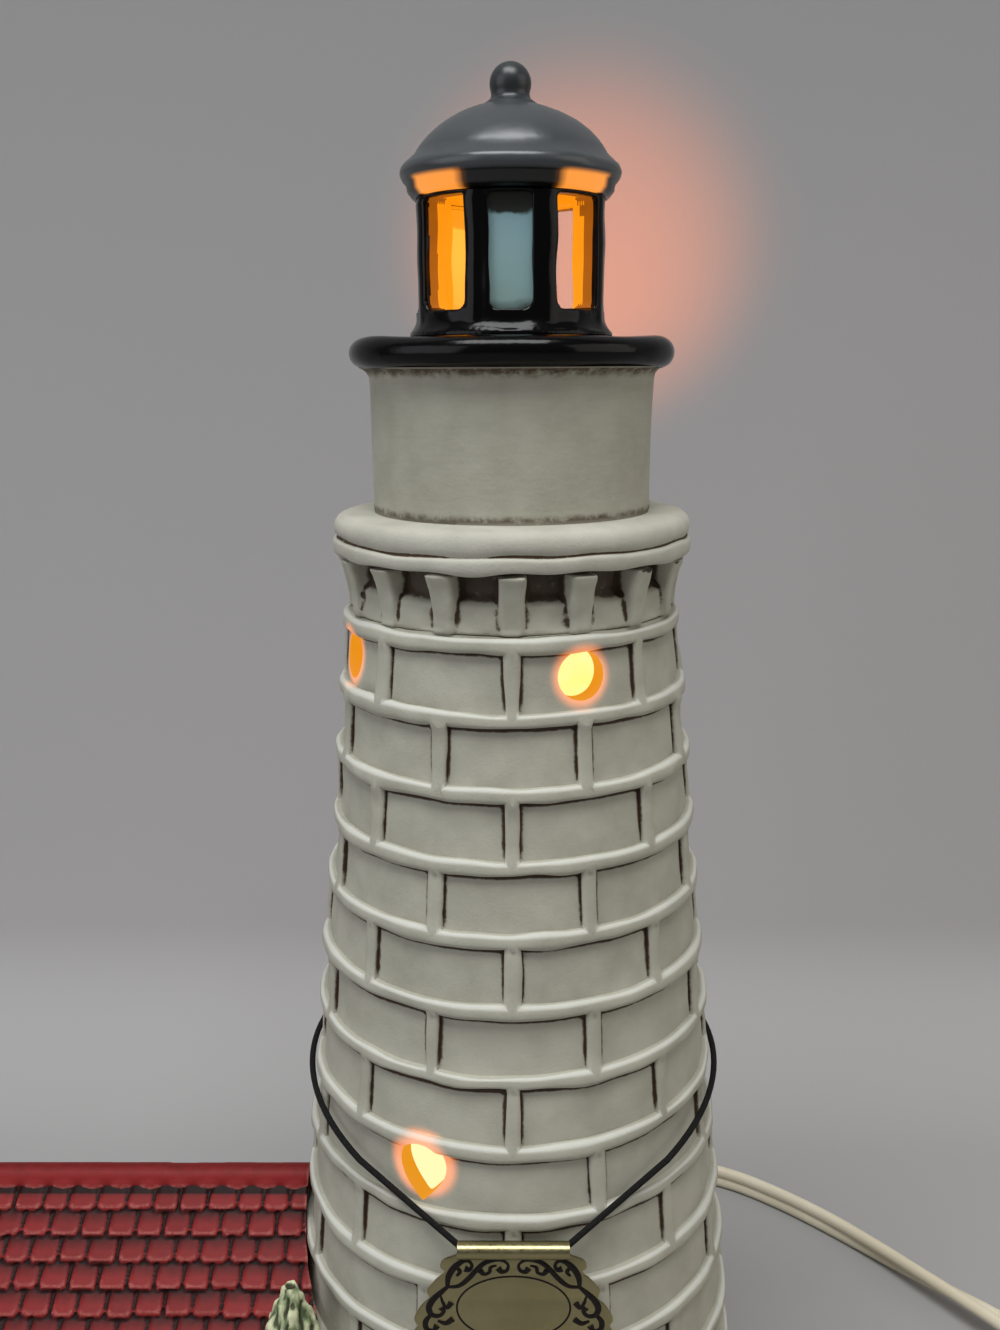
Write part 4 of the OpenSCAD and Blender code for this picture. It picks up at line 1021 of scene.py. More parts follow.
def corbel_ring():
    """A recessed band with sixteen flared corbels, fused as one casting."""
    face, tall = face_r(SHAFT_TOP), CORBEL_TOP - SHAFT_TOP
    band_r, bore, step = face - 2, face - 5, SHAFT_TOP + tall * 0.48
    tip_r = 27.6
    outline = [(bore, SHAFT_TOP), (face, SHAFT_TOP), (face - 0.5, step), (band_r, step + 1.2),
               (band_r, CORBEL_TOP), (bore, CORBEL_TOP), (bore, SHAFT_TOP)]
    made = [turned("corbel_band", outline, 96)]
    for k in range(CORBELS):
        one = block("corbel", (-1.9, -27.5, SHAFT_TOP), (1.9, -band_r + 1, CORBEL_TOP))
        sliced(one, [SHAFT_TOP + tall * part for part in (0.14, 0.28, 0.42, 0.56, 0.7, 0.85)])
        for place in moving(one):
            t = max(0.0, (place[2] / MM - SHAFT_TOP) / tall)
            if place[1] < -(band_r + 0.5) * MM:
                place[1] = -(face + 0.55 + (tip_r - face - 0.55) * t ** 2.2) * MM
            place[0] *= 0.86 + 0.2 * t
        edit(one)
        choose(one, "edges", lambda e: all(v.co.y < -(face - 0.2) * MM for v in e.verts)
               and abs(e.verts[0].co.z - e.verts[1].co.z) > 1e-5)
        bevel_edges(0.7, 3)
        leave()
        made.append(swung(one, 360 / CORBELS * k))
    ring = join("corbel_ring", made)
    cast(ring, 0.33, 3)
    rumple(ring, 3.5, 0.35, 5.0, lambda p: p[2] > SHAFT_TOP + 0.6)
    weather(ring, 4)
    places = points_of(ring) / MM
    deep = np.clip((25.2 - np.hypot(places[:, 0] - TOWER_X, places[:, 1])) / 1.4, 0, 1)
    # painted shade with stain: the upper half of each recess, deep under the overhang, is marked for darkening
    layer(ring, "shade", deep * np.clip((places[:, 2] - step + 0.4) / 1.2, 0, 1))
    finish(ring, ["corbel_course"], "bisque", corbel_bisque())


def corbel_bisque():
    """The tower's bisque, with dark stain and painted shade thick in the upper half of each recess."""
    look = stained_bisque("antiqued_corbel_bisque", "b0ae9f", "a19f8f", "38250f", reach=(0.05, 0.24))
    edge = look.math("MULTIPLY", look.stored("shade"), look.noise(1.8, 4.0, 0.7))
    # painted shade and stain: dark brown in the recesses where the shade layer is set
    dark = look.fit(edge, 0.16, 0.42, 0.0, 0.92, interpolation_type="SMOOTHSTEP")
    return look.wear({"Base Color": look.mix(dark, look.worn("Base Color"), "3a2818")})


def gallery():
    """Fascia and fat rim with the mould's wavy seam between them."""
    foot, seam, top, bore = CORBEL_TOP, FASCIA_TOP, GALLERY_TOP, GALLERY_BORE_R
    outline = [(bore, foot), (27.3, foot), (27.75, foot + 0.3), (28.0, foot + 0.9), (28.0, seam - 0.55),
               (27.85, seam - 0.2), (27.45, seam), (27.25, seam + 0.12), (27.35, seam + 0.3),
               (27.7, seam + 0.75), (27.8, seam + 1.5), (27.65, top - 1.3), (27.15, top - 0.6),
               (26.3, top - 0.15), (25.2, top), (22, top), (bore, top), (bore, foot)]
    ring = turned("lower_gallery_ring", outline, 160)
    for place in moving(ring):
        z, a = place[2] / MM, math.radians(bearing_of(place))
        if radius_of(place / MM) > 26 and abs(z - seam) < 1.2:
            place[2] += 0.45 * MM * noise.noise(Vector((3.2 * math.sin(a), 3.2 * math.cos(a), 7.7)))
        if radius_of(place / MM) > 26 and z < foot + 0.5:
            place[2] += 0.16 * MM * (1 + math.cos(CORBELS * a))
    modify(ring, "SUBSURF", levels=1, render_levels=1)
    rumple(ring, 9, 0.4, 1.0, lambda p: p[2] < top - 0.3 and radius_of(p) > 24)
    weather(ring, 2)
    smooth(ring)
    finish(ring, ["lower_gallery"], "bisque", GALLERY_BISQUE)


def watch():
    """Plain drum: brushed stain in level strokes, a sandy dark line where it meets the gallery."""
    foot, bore = GALLERY_TOP - 0.5, GALLERY_BORE_R
    outline = [(bore, foot), (21.5, foot), (21.4, GALLERY_TOP + 0.3), (21.3, GALLERY_TOP + 3), (21.45, 190),
               (21.6, 197), (21.7, WATCH_TOP - 1.8)] + arc(23.5, WATCH_TOP - 1.8, 1.8, 180, 100, 6)[1:]
    outline += [(23.5, WATCH_TOP + 0.2), (bore, WATCH_TOP + 0.2), (bore, foot)]
    drum = turned("watch_room_drum", outline)
    sliced(drum, (192.5, 195, 199.5))
    modify(drum, "SUBSURF", levels=1, render_levels=1)
    rumple(drum, 14, 0.35, 2.0, lambda p: GALLERY_TOP + 0.5 < p[2] < WATCH_TOP - 1)
    weather(drum, 2)
    places = points_of(drum) / MM
    z = places[:, 2]
    layer(drum, "hollow", np.where(np.hypot(places[:, 0] - TOWER_X, places[:, 1]) > 20,
                                   np.clip(1 - (z - GALLERY_TOP) / 1.3, 0, 1) * 0.22
                                   + np.clip((z - WATCH_TOP + 2.0) / 2.0, 0, 1) * 0.16, 0))
    smooth(drum, 50)
    finish(drum, ["watch_room"], "bisque", watch_bisque())


def watch_bisque():
    """The same bisque brushed round in level strokes of a greener stain."""
    look = stained_bisque("brushed_watch_room_bisque", "a8a697", "9e9c8c", "463520", grain=0.6,
                          patchy=(0.3, 1.7))
    strokes = look.fit(look.noise(5, 4.0, 0.65, look.scaled(1, 1, 7)), 0.45, 0.8, 0.0, 0.35)
    return look.wear({"Base Color": look.mix(strokes, look.worn("Base Color"), "8d8e79")})


def black_disc():
    """The upper gallery, with a full round edge."""
    outline = [(BORE_R, WATCH_TOP), (23.0, WATCH_TOP)] + arc(22.45, WATCH_TOP + 2.15, 2.15, -75, 90, 12)
    outline += [(16, DISC_TOP), (BORE_R, DISC_TOP), (BORE_R, WATCH_TOP)]
    disc = turned("black_gallery_disc", outline, 160)
    rumple(disc, 12, 0.4, 4.0, lambda p: radius_of(p) > 18)
    smooth(disc, 50)
    finish(disc, ["upper_gallery"], "black_glaze", BLACK)


corbel_ring()
gallery()
watch()
black_disc()


# lantern
def lantern():
    """A drum with eight fat posts, three open bays and five shallow ones."""
    outline = [(BORE_R, DISC_TOP), (15.4, DISC_TOP), (15.35, DISC_TOP + 0.7), (14.6, DISC_TOP + 1.6),
               (14.2, DISC_TOP + 2.4), (14.2, LANTERN_TOP), (BORE_R, LANTERN_TOP), (BORE_R, DISC_TOP)]
    drum = turned("lantern_drum", outline, 96)
    posts = [rod("post", on_tower(a, 12.2, DISC_TOP + 1), on_tower(a, 12.2, LANTERN_TOP), 2.3)
             for a in (22.5 + 45 * k for k in range(8))]
    drum = join("lantern_drum", [drum] + posts)
    sill = DISC_TOP + 3.7
    cast(drum, 0.3, 0)
    for a, w in [(b, 8.2) for b in OPEN_BAYS] + [(b, 6.2) for b in BLIND_BAYS]:
        tool = block("bay", (-w / 2, -19, sill), (w / 2, -7, LANTERN_TOP - 0.6))
        edit(tool)
        choose(tool, "edges", lambda e: all(v.co.z < (sill + 0.3) * MM for v in e.verts)
               and abs(e.verts[0].co.y - e.verts[1].co.y) > 1e-3)
        bevel_edges(1.4, 5)
        leave()
        cut(drum, swung(tool, a))
    cast(drum, 0.3, 3)
    rumple(drum, 6, 0.35, 6.0, lambda p: DISC_TOP + 1 < p[2] < LANTERN_TOP - 1)
    smooth(drum)
    finish(drum, ["lantern_room"], "black_glaze", BLACK, LANTERN_LINING, LANTERN_JAMB)

    def rule(place, normal):
        """1 on the lit bore, 2 on the sides of an open bay."""
        r, facing = radius_of(place), normal.dot(outwards(place))
        if r < 11.75 and facing < -0.3:
            return 1
        open_bay = any(apart(bearing_of(place * MM), a) < 24 for a in OPEN_BAYS)
        return 2 if open_bay and r < 13.3 and abs(facing) < 0.7 and place.z > sill + 0.5 else 0

    slots_by_place(drum, rule)


def dome():
    """The cap with its rolled eave, open underneath, where the lamp lights it."""
    spring = LANTERN_TOP + 2
    outline = [(BORE_R, LANTERN_TOP), (14.6, LANTERN_TOP), (15.3, LANTERN_TOP + 0.8)]
    outline += arc(14.7, spring + 1.3, 1.6, -60, 55, 10) + oval_arc(15.2, 11.2, spring, range(20, 84, 4))
    outline += [(0.4, spring + 11.1), (0.4, spring + 8.2)]
    outline += oval_arc(12.2, 8.2, spring, (75, 60, 45, 30, 15, 0))
    cap = turned("lantern_dome_cap", outline + [(BORE_R, LANTERN_TOP)])
    rumple(cap, 9, 0.3, 9.0, lambda p: p[2] > spring + 1)
    smooth(cap, 60)
    # painted lamp light: 'lit' marks the eave's underside above the open bays, where the glaze glows orange
    under_eave, lit = [], []
    for v in cap.data.vertices:
        down = min(1.0, max(0.0, (LANTERN_TOP + 2.5 - v.co.z / MM) / 0.5))
        down = down if radius_of(v.co / MM) > 11 else 0.0
        off = min(apart(bearing_of(v.co), a) for a in OPEN_BAYS)
        under_eave.append(down)
        lit.append(down * min(1.0, max(0.0, (20 - off) / 6)))
    layer(cap, "under", under_eave)
    layer(cap, "lit", lit)
    finish(cap, ["lantern_dome"], "grey_glaze", GREY, LANTERN_LINING)

    def rule(place, normal):
        """1 on the lit underside."""
        if not (LANTERN_TOP + 0.2 < place.z < spring + 8.3 and radius_of(place) < 12.6):
            return 0
        return 1 if normal.dot(place - Vector((TOWER_X, 0, spring))) < 0 else 0

    slots_by_place(cap, rule)


def ball():
    """The ball on its collar."""
    seat = DOME_TOP - 0.6
    collar = [(0.0, seat), (4.3, seat), (4.0, seat + 0.4), (3.4, seat + 0.8), (2.95, seat + 1.2),
              (2.8, seat + 1.7)]
    piece = turned("ball_on_dome", collar + arc(0, seat + 3.2, 3.05, -20, 90, 16), 64)
    smooth(piece, 60)
    finish(piece, ["ball_finial"], "grey_glaze", DARK_GREY)


def pane_glaze():
    """Grey-blue glaze on the blind panes: a painted shadow of the eave across the top, grimy at the sill, and a
    painted orange glow of the lamp on the inner face.
    """
    look = Look("grey_blue_pane_glaze")
    height = look.fit(look.axis("Z"), 212.8 * MM, 229 * MM)
    shifted = look.math("ADD", height, look.math("MULTIPLY", look.noise(3, 4.0), 0.16))
    # the dark stops at the top are a painted shadow of the eave; the dark stop at the bottom is grime at the sill
    tone = look.ramp(shifted, (0.06, "2f362e"), (0.17, "86a29f"), (0.86, "90b4bb"), (0.89, "2c322c"),
                     (1.0, "201f18"))
    out = look.vector("SUBTRACT", look.where, point(TOWER_X, 0, 0))
    r = look.vector("LENGTH", look.vector("MULTIPLY", out, (1, 1, 0)), output="Value")
    # painted light: the inner face glows orange as if lit by the lamp inside
    lit = look.mix(look.fit(r, 12.3 * MM, 12.0 * MM), "000000", "ff9a18")
    return look.wear({"Base Color": tone, "Emission Color": lit, "Emission Strength": 0.95,
                      "Roughness": 0.32})


def panes():
    """Flat blind panes, bedded a little into the posts on each side."""
    made = [swung(block("pane", (-3.6, -12.9, DISC_TOP + 3.5), (3.6, -11.5, LANTERN_TOP - 0.1), 0.15), a)
            for a in BLIND_BAYS]
    finish(join("grey_blue_panes", made), ["blind_panes"], "pane_glaze", pane_glaze())


lantern()
dome()
ball()
panes()


# roof
SLOPE = math.radians(PITCH)


def on_slope(side, x, down, off):
    """A point on the roof in mm: side -1 in front, 1 behind, down from the ridge, off the deck."""
    return Vector((x, side * (down * math.cos(SLOPE) + off * math.sin(SLOPE)),
                   RIDGE_Z - down * math.sin(SLOPE) + off * math.cos(SLOPE))) * MM


def down_slope(places):
    """How far places in mm lie down from the ridge."""
    return (RIDGE_Z - places[:, 2]) * math.sin(SLOPE) + np.abs(places[:, 1]) * math.cos(SLOPE)


def row_joints(k):
    """Where the shingles of a row meet, the same joints as in the CAD with a hand's unevenness."""
    dice = random.Random(40 + k)
    joints = [(j + (k % 2) / 2) * SHINGLE_W for j in range(60)]
    return [0.0] + [x + dice.uniform(-0.35, 0.35) for x in joints if 1 < x < ROOF_L - 1] + [ROOF_L]


def lean_to_slope(piece, side):
    """Turns a piece drawn flat (X along, Y down the slope, Z up) onto one side of the roof."""
    for place in moving(piece):
        place[:] = on_slope(side, *(place / MM))
    if side > 0:
        piece.data.flip_normals()
    return piece


def room_for_tower():
    """What the tower takes out of the roof."""
    return cone("room", 20, crest_r(20) + 0.15, 90, crest_r(90) + 0.15, 96, "NGON")


def shingle(x0, x1, down, dip, dice):
    """One pillowed shingle, its lip raised and its lower corners round."""
    one = block("shingle", (x0 + 0.26, down - SHINGLE_H - 1.0, -0.3), (x1 - 0.26, down + dip, 1.05))
    edit(one)
    choose(one, "edges", lambda e: all(v.co.y > (down + dip - 0.1) * MM for v in e.verts)
           and abs(e.verts[0].co.z - e.verts[1].co.z) > 1e-4)
    bevel_edges(0.95, 3)
    choose(one, "faces", lambda f: f.normal.z > 0.9)
    bpy.ops.mesh.inset(thickness=0.42 * MM)
    bpy.ops.transform.translate(value=(0, 0, 0.28 * MM))
    leave()
    tip = dice.uniform(-0.05, 0.07)
    for place in moving(one):
        up = (down - place[1] / MM) / SHINGLE_H
        place[2] -= (0.74 * up + tip * (place[0] / MM - (x0 + x1) / 2) / 2.4) * MM
    return one


def roof():
    """Deck, shingles and the cut round the tower, fused as the casting that it is."""
    low, thick = RIDGE_Z - EAVE_Y * math.tan(SLOPE), DECK_T / math.cos(SLOPE)
    section = [(0, RIDGE_Z), (EAVE_Y, low), (EAVE_Y, low - thick), (0, RIDGE_Z - thick),
               (-EAVE_Y, low - thick), (-EAVE_Y, low)]
    parts = [prism("deck", [(ROOF_X0, y, z) for y, z in section], (ROOF_L, 0, 0))]
    for side in (-1, 1):
        dice = random.Random(11 + side)
        for k in range(ROWS):
            joints = row_joints(k)
            for x0, x1 in zip(joints, joints[1:]):
                if x1 - x0 >= 1.4:
                    dip = dice.uniform(-0.22, 0.22)
                    one = shingle(ROOF_X0 + x0, ROOF_X0 + x1, BAND + (k + 1) * SHINGLE_H, dip, dice)
                    parts.append(lean_to_slope(one, side))
    whole = join("shingled_roof", parts)
    cast(whole, 0.36, 1)
    cut(whole, room_for_tower())
    weather(whole, 2)
    places = points_of(whole) / MM
    down = down_slope(places)
    row = np.clip((down - BAND) // SHINGLE_H, 0, ROWS - 1).astype(int)
    tone = np.zeros(len(places))
    for k in range(ROWS):
        joints = np.array(row_joints(k))
        dice = random.Random(90 + k)
        tones = np.array([dice.random() for _ in range(len(joints) + 1)])
        here = row == k
        tone[here] = tones[np.searchsorted(joints, places[here, 0] - ROOF_X0)]
    layer(whole, "tone", tone)
    layer(whole, "lip", np.clip((down - BAND) / SHINGLE_H - row, 0, 1))
    hollow = read(whole.data.attributes["hollow"].data, "value", 1, np.float32)[:, 0]
    layer(whole, "hollow", np.maximum(hollow, 0.3 * np.clip((4.4 - down) / 0.6, 0, 1)))
    smooth(whole)
    finish(whole, ["house_roof"], "roof_glaze", roof_red("rubbed_brick_red_stain"))


def roof_red(name):
    """Brick-red stain over a dark ground: maroon in the joints, painted shade under each row, and pink on the lips,
    which is rubbed stain and a painted highlight.
    """
    look = Look(name)
    lip, cloud, fine = look.stored("lip"), look.noise(2.2, 4.0, 0.7), look.noise(0.5, 3.0, 0.7)
    body = look.mix(look.stored("tone"), "832022", "661819")
    body = look.mix(cloud, body, "832725")
    # painted shade: the upper part of each shingle, tucked under the row above, darkens to maroon
    shade_at = look.math("SUBTRACT", lip, look.math("MULTIPLY", cloud, 0.5))
    body = look.mix(look.fit(shade_at, 0.35, -0.12, 0.0, 0.85), body, "360f0e")
    # rubbed stain and painted highlight: the crests of the lower lips go pink
    rub_and_highlight = look.fit(look.stored("proud"), 0.12, 0.42, 0.0, 0.8)
    worn = look.math("MULTIPLY", rub_and_highlight, look.fit(fine, 0.35, 0.62, 0.35, 1.0))
    worn = look.math("MULTIPLY", worn, look.fit(lip, 0.4, 0.85, 0.25, 1.0))
    body = look.mix(worn, body, "b26a63")
    joint = look.fit(look.stored("hollow"), 0.03, 0.2, interpolation_type="SMOOTHSTEP")
    return look.wear({"Base Color": look.mix(joint, body, "1f0807"), "Normal": look.bump(fine, 0.3, 0.12),
                      "Roughness": 0.5, "Specular IOR Level": 0.14})


def ridge():
    """Saddle tiles along the ridge, each with a scalloped tongue down both slopes."""
    pieces = int(ROOF_L / SHINGLE_W)
    pitch = ROOF_L / pieces
    dice = random.Random(5)
    parts = []
    for k in range(pieces):
        x = ROOF_X0 + (k + 0.5) * pitch
        sag = dice.uniform(-0.15, 0.15)
        z = RIDGE_Z - 1.3 + sag * 0.4
        ends = point(x - pitch / 2 - 0.1, 0, z), point(x + pitch / 2 + 0.05, 0, z)
        parts.append(rod("tile", *ends, 2.45, 20))
        for side in (-1, 1):
            clear()
            bpy.ops.mesh.primitive_uv_sphere_add(segments=16, ring_count=8, radius=1,
                                                 location=point(x, 1.6, 0.45))
            parts.append(lean_to_slope(settle("tongue", (pitch * 0.56, 1.8 + sag, 0.8)), side))
    tiles = join("ridge_saddle_tiles", parts)
    cast(tiles, 0.3, 2)
    cut(tiles, room_for_tower())
    weather(tiles, 2)
    down = down_slope(points_of(tiles) / MM)
    layer(tiles, "tone", np.full(len(down), 0.1))
    layer(tiles, "lip", np.clip(0.45 + down / 8, 0, 1))
    smooth(tiles)
    finish(tiles, ["ridge_tiles"], "roof_glaze", roof_red("rubbed_ridge_red_stain"))


roof()
ridge()


# keeper's house
def softened(node, name, edge, slot, look, body="root", segments=2):
    """A copy of a CAD piece with the small round edges that moulding and casting leave."""
    piece = copy_of(node, name)
    round_off(piece, edge, segments, 28)
    smooth(piece, 35)
    finish(piece, [node], slot, look, body=body)


def brick_bisque():
    """Cream bisque scored with brick courses: brown wash stays in the joints, faces mottle softly."""
    look = stained_bisque("brick_scored_bisque", "a59c84", "968c74", "4a3a28", rough=0.75)
    along = look.math("ADD", look.axis("X"), look.axis("Y"))
    flat = look.add("CombineXYZ", {0: along, 1: look.axis("Z")}).outputs[0]
    bricks = look.add("TexBrick", {"Vector": flat, "Color1": "ffffff", "Color2": (0.82, 0.82, 0.82, 1),
                                   "Mortar": "000000", "Scale": 1.0, "Mortar Size": 0.28 * MM,
                                   "Mortar Smooth": 0.6, "Brick Width": 5.2 * MM, "Row Height": 2.4 * MM})
    mortar = bricks.outputs["Fac"]
    toned = look.mix(0.25, look.worn("Base Color"), bricks.outputs["Color"], "MULTIPLY")
    carved = look.bump(look.math("SUBTRACT", 1.0, mortar), 0.8, 0.35, look.worn("Normal"))
    return look.wear({"Base Color": look.mix(look.fit(mortar, 0.2, 0.9, 0.0, 0.85), toned, "4a3a28"),
                      "Normal": carved})


def window_glaze():
    """Warm yellow glaze on the panes, with a faint painted glow as if lit from behind, and cream bars standing over
    it.
    """
    look = Look("yellow_pane_glaze_and_cream_bars")
    side = look.fit(look.math("ABSOLUTE", look.axis("Y")), 17.75 * MM, 17.95 * MM)
    gable = look.fit(look.axis("X"), -60.75 * MM, -60.95 * MM)
    bar = look.math("MAXIMUM", side, gable)
    pane = look.mix(look.noise(3, 3.0), "e0b050", "c8903a")
    # painted light: the panes glow a little by emission, as if a lamp were behind them
    return look.wear({"Base Color": look.mix(bar, pane, "bdb59c"), "Roughness": 0.35,
                      "Emission Color": look.mix(bar, pane, "000000"), "Emission Strength": 0.25})


def door_stain():
    """Brown stain on a boarded door: vertical board lines, darker in the grooves, matt."""
    look = Look("brown_stained_door_bisque")
    board_w = 1.6
    inputs = {"Vector": look.where, "Scale": 1000 / board_w / math.pi / 2, "Distortion": 0.3, "Detail": 1.0}
    boards = look.add("TexWave", inputs, bands_direction="X").outputs["Fac"]
    tone = look.mix(look.noise(0.7, 4.0, at=look.scaled(1, 1, 0.15)), "6e5036", "4c3524")
    groove = look.fit(boards, 0.12, 0.0, 0.0, 0.85)
    return look.wear({"Base Color": look.mix(groove, tone, "22150c"), "Normal": look.bump(boards, 0.4, 0.3),
                      "Roughness": 0.6})


softened("house_walls", "brick_house_walls", 0.35, "house_bisque", brick_bisque())
softened("house_windows", "barred_windows", 0.12, "window_glaze", window_glaze())
softened("house_door", "boarded_door", 0.15, "door_paint", door_stain())


# rocky island
def island():
    """The rocky bank: hewn facets and cracks on its sides, tufty ground on top."""
    piece = copy_of("rocky_base", "rocky_island", flatten=False)
    cast(piece, 0.95, 0)
    normals = normals_of(piece)
    x, y, z = (points_of(piece) / MM).T
    facing = (normals[:, 0] * x + normals[:, 1] * y) / (np.hypot(x, y) + 1e-9)
    bank = np.clip(facing * 2, 0, 1) * np.clip((z - 0.6) / 2.0, 0, 1) * (np.hypot(x / 77, y / 52) > 0.9)
    tower = np.clip((np.hypot(x - TOWER_X, y) - 42.8) / 2.5, 0, 1)
    house = np.clip(np.maximum(np.abs(y) - 19.6, -63 - x) / 2.0, 0, 1)
    house = np.where(x > TOWER_X, 1, house)
    ground = np.clip((normals[:, 2] - 0.5) * 3, 0, 1) * (z > 15.5) * tower * house
    for k, place in enumerate(moving(piece)):
        p = Vector(place / MM)
        if bank[k] > 0:
            tilt = Vector((p.x, p.y, p.z * 1.35))
            near, fine = (noise.voronoi(tilt / size)[0] for size in (8.5, 3.1))
            crack = min(1.0, (near[1] - near[0]) * 3.2)
            chip = min(1.0, (fine[1] - fine[0]) * 2.5)
            depth = 1.9 * (1 - crack) + 0.5 * (1 - chip) + 0.5 * (noise.noise(tilt / 5) + 0.4)
            place -= normals[k] * max(0.0, depth) * bank[k] * MM
        elif ground[k] > 0:
            swell = 0.55 * noise.noise(p / 9) + 0.5 * noise.noise(p / 2.3) + 0.3 * noise.noise(p / 1.1)
            place[2] += (swell - 0.15) * ground[k] * MM
    weather(piece, 2)
    layer(piece, "grass", np.clip((normals[:, 2] - 0.35) / 0.35, 0, 1) * (z > 14.5))
    smooth(piece)
    finish(piece, ["rocky_base"], "rock_bisque", rock_and_grass())


def rock_and_grass():
    """Bisque painted as rock under turf: grey-brown facets with dark cracks, dry-brushed greens on top."""
    look = Look("painted_rock_and_turf_bisque")
    broad, fine = look.noise(11, 5.0, 0.6), look.noise(1.2, 4.0, 0.7)
    rock = look.ramp(broad, (0.3, "6a6258"), (0.5, "8c8475"), (0.7, "a39a88"))
    turf = look.ramp(fine, (0.3, "33401f"), (0.5, "56653a"), (0.72, "8b9468"))
    turf = look.mix(broad, turf, "6b6a3c")
    edge = look.math("ADD", look.stored("grass"), look.math("ADD", fine, -0.5))
    body = look.mix(look.fit(edge, 0.42, 0.58), rock, turf)
    body = look.mix(look.fit(look.stored("hollow"), 0.03, 0.22, 0.0, 0.85), body, "2b2119")
    body = look.mix(look.fit(look.stored("proud"), 0.05, 0.3, 0.0, 0.5), body, "b9b49c")
    return look.wear({"Base Color": body, "Normal": look.bump(fine, 0.4, 0.3), "Roughness": 0.85})


island()


# clipped bushes
def bush(node, name, slot, colours, seed):
    """A bush carved in upright strokes, its leaves as ragged tufts."""
    piece = copy_of(node, name, flatten=False)
    cast(piece, 0.36, 0)
    normals, stroke = normals_of(piece), []
    shift = Vector((seed, -seed, 0.5 * seed))
    for place, normal in zip(moving(piece), normals):
        p = Vector(place) / MM + shift
        stroke.append(noise.noise(Vector((p.x / 1.3, p.y / 1.3, p.z / 5.5))))
        foot = min(1.0, max(0.0, (place[2] / MM - BASE_TOP) / 2))
        place += normal * (0.75 * stroke[-1] + 0.45 * noise.noise(p / 1.5) - 0.35) * foot * MM
    weather(piece, 1)
    layer(piece, "stroke", np.clip(0.5 + np.array(stroke), 0, 1))
    smooth(piece)
    finish(piece, [node], slot, leaf_paint(name + "_paint", *colours))


def leaf_paint(name, dark, middle, pale):
    """Leaves painted dark, then dry-brushed with pale upright strokes that catch the tufts."""
    look = Look(name)
    brush = look.noise(0.8, 3.0, 0.7, look.scaled(1, 1, 0.25))
    tone = look.fit(look.math("ADD", look.stored("stroke"), brush), 0.6, 1.4)
    body = look.ramp(tone, (0.1, dark), (0.45, middle), (0.85, pale))
    body = look.mix(look.fit(look.stored("hollow"), 0.04, 0.25, 0.0, 0.85), body, "2c2415")
    return look.wear({"Base Color": body, "Normal": look.bump(brush, 0.5, 0.3), "Roughness": 0.8})


bush("shrub_left", "bush_by_house", "leaf_pale", ("4b5a3a", "8e9a72", "cfd1ab"), 3.0)
bush("shrub_right", "bush_by_tower", "leaf_dark", ("2f3d22", "55663c", "9aa478"), 11.0)


# metals, plastics and glass
def metal(name, base, shade, rough, scratch=0.15, stretch=(1, 1, 1)):
    """Bare metal: its own colour in the reflections, cloudy handling marks and fine drawn scratches."""
    look = Look(name)
    fine = look.noise(0.5, 3.0, at=look.scaled(*stretch))
    return look.wear({"Base Color": look.mix(look.noise(5, 4.0), base, shade),
                      "Roughness": look.fit(fine, 0.3, 0.7, rough - 0.06, rough + 0.1),
                      "Normal": look.bump(fine, scratch, 0.05), "Metallic": 1.0})


def moulded(name, base, shade, rough):
    """Moulded plastic: even, a little cloudy, with the fine orange-peel skin of a steel mould."""
    look = Look(name)
    return look.wear({"Base Color": look.mix(look.noise(9, 3.0), base, shade),
                      "Normal": look.bump(look.noise(0.6, 2.0), 0.12, 0.08), "Roughness": rough})


def clear_glass():
    """Thin blown glass round the lit filament: clear, amber where the light gathers, faint ripples."""
    look = Look("blown_lamp_glass")
    ripple = look.noise(6, 1.0)
    return look.wear({"Emission Color": look.mix(ripple, "ffb050", "ff8a2a"), "Emission Strength": 0.35,
                      "Normal": look.bump(ripple, 0.1, 0.2), "Base Color": "fff3e0",
                      "Transmission Weight": 0.9, "Roughness": 0.03, "IOR": 1.5})


def hot_wire():
    """Tungsten at full heat: white-gold in its middle, deeper orange towards the supports."""
    look = Look("glowing_tungsten")
    hot = look.fit(look.axis("Z"), 56 * MM, 61 * MM)
    return look.wear({"Emission Color": look.mix(hot, "ff8a20", "ffe0a0"), "Base Color": "7a6a50",
                      "Emission Strength": 6.0})


def recoat(node, look):
    for spot in nodes[node].material_slots:
        spot.material = look.made


BRASS = metal("rolled_brass", "c2a25a", "a98a48", 0.3)
STEEL = metal("bright_spring_steel", "b4b6b8", "9a9c9e", 0.28, stretch=(1, 8, 1))
IVORY = moulded("ivory_moulded_plastic", "dcd5bd", "cfc6aa", 0.36)
SOCKET_IVORY = moulded("ivory_phenolic", "ddd7c4", "c9c1aa", 0.5)
WHEEL_IVORY = moulded("ivory_knurled_plastic", "cfc7ac", "bfb595", 0.4)

softened("socket_body", "candelabra_socket", 0.4, "socket_ivory", SOCKET_IVORY)
softened("socket_clip", "spring_clip", 0.12, "spring_steel", STEEL)
recoat("socket_contact", BRASS)
recoat("bulb_glass", clear_glass())
recoat("bulb_insulator", glaze("black_vitrite", "1c1817", "2c2624", rough=0.2))
recoat("bulb_stem", clear_glass())
recoat("bulb_filament", hot_wire())


def threads(node, name, r, wave, z0, z1):
    """A rolled screw thread: a turned wall that waves in and out, as a candelabra cap's does."""
    pitch, wall = 2.4, 0.4
    steps = round((z1 - z0) / pitch * 6)
    outer = [(r + wave * math.sin(2 * math.pi * k / 6), z0 + (z1 - z0) * k / steps) for k in range(steps + 1)]
    inner = [(x - wall, z) for x, z in reversed(outer)]
    piece = turned(name, outer + inner + [outer[0]], 64)
    smooth(piece, 50)
    finish(piece, [node], "brass", BRASS)


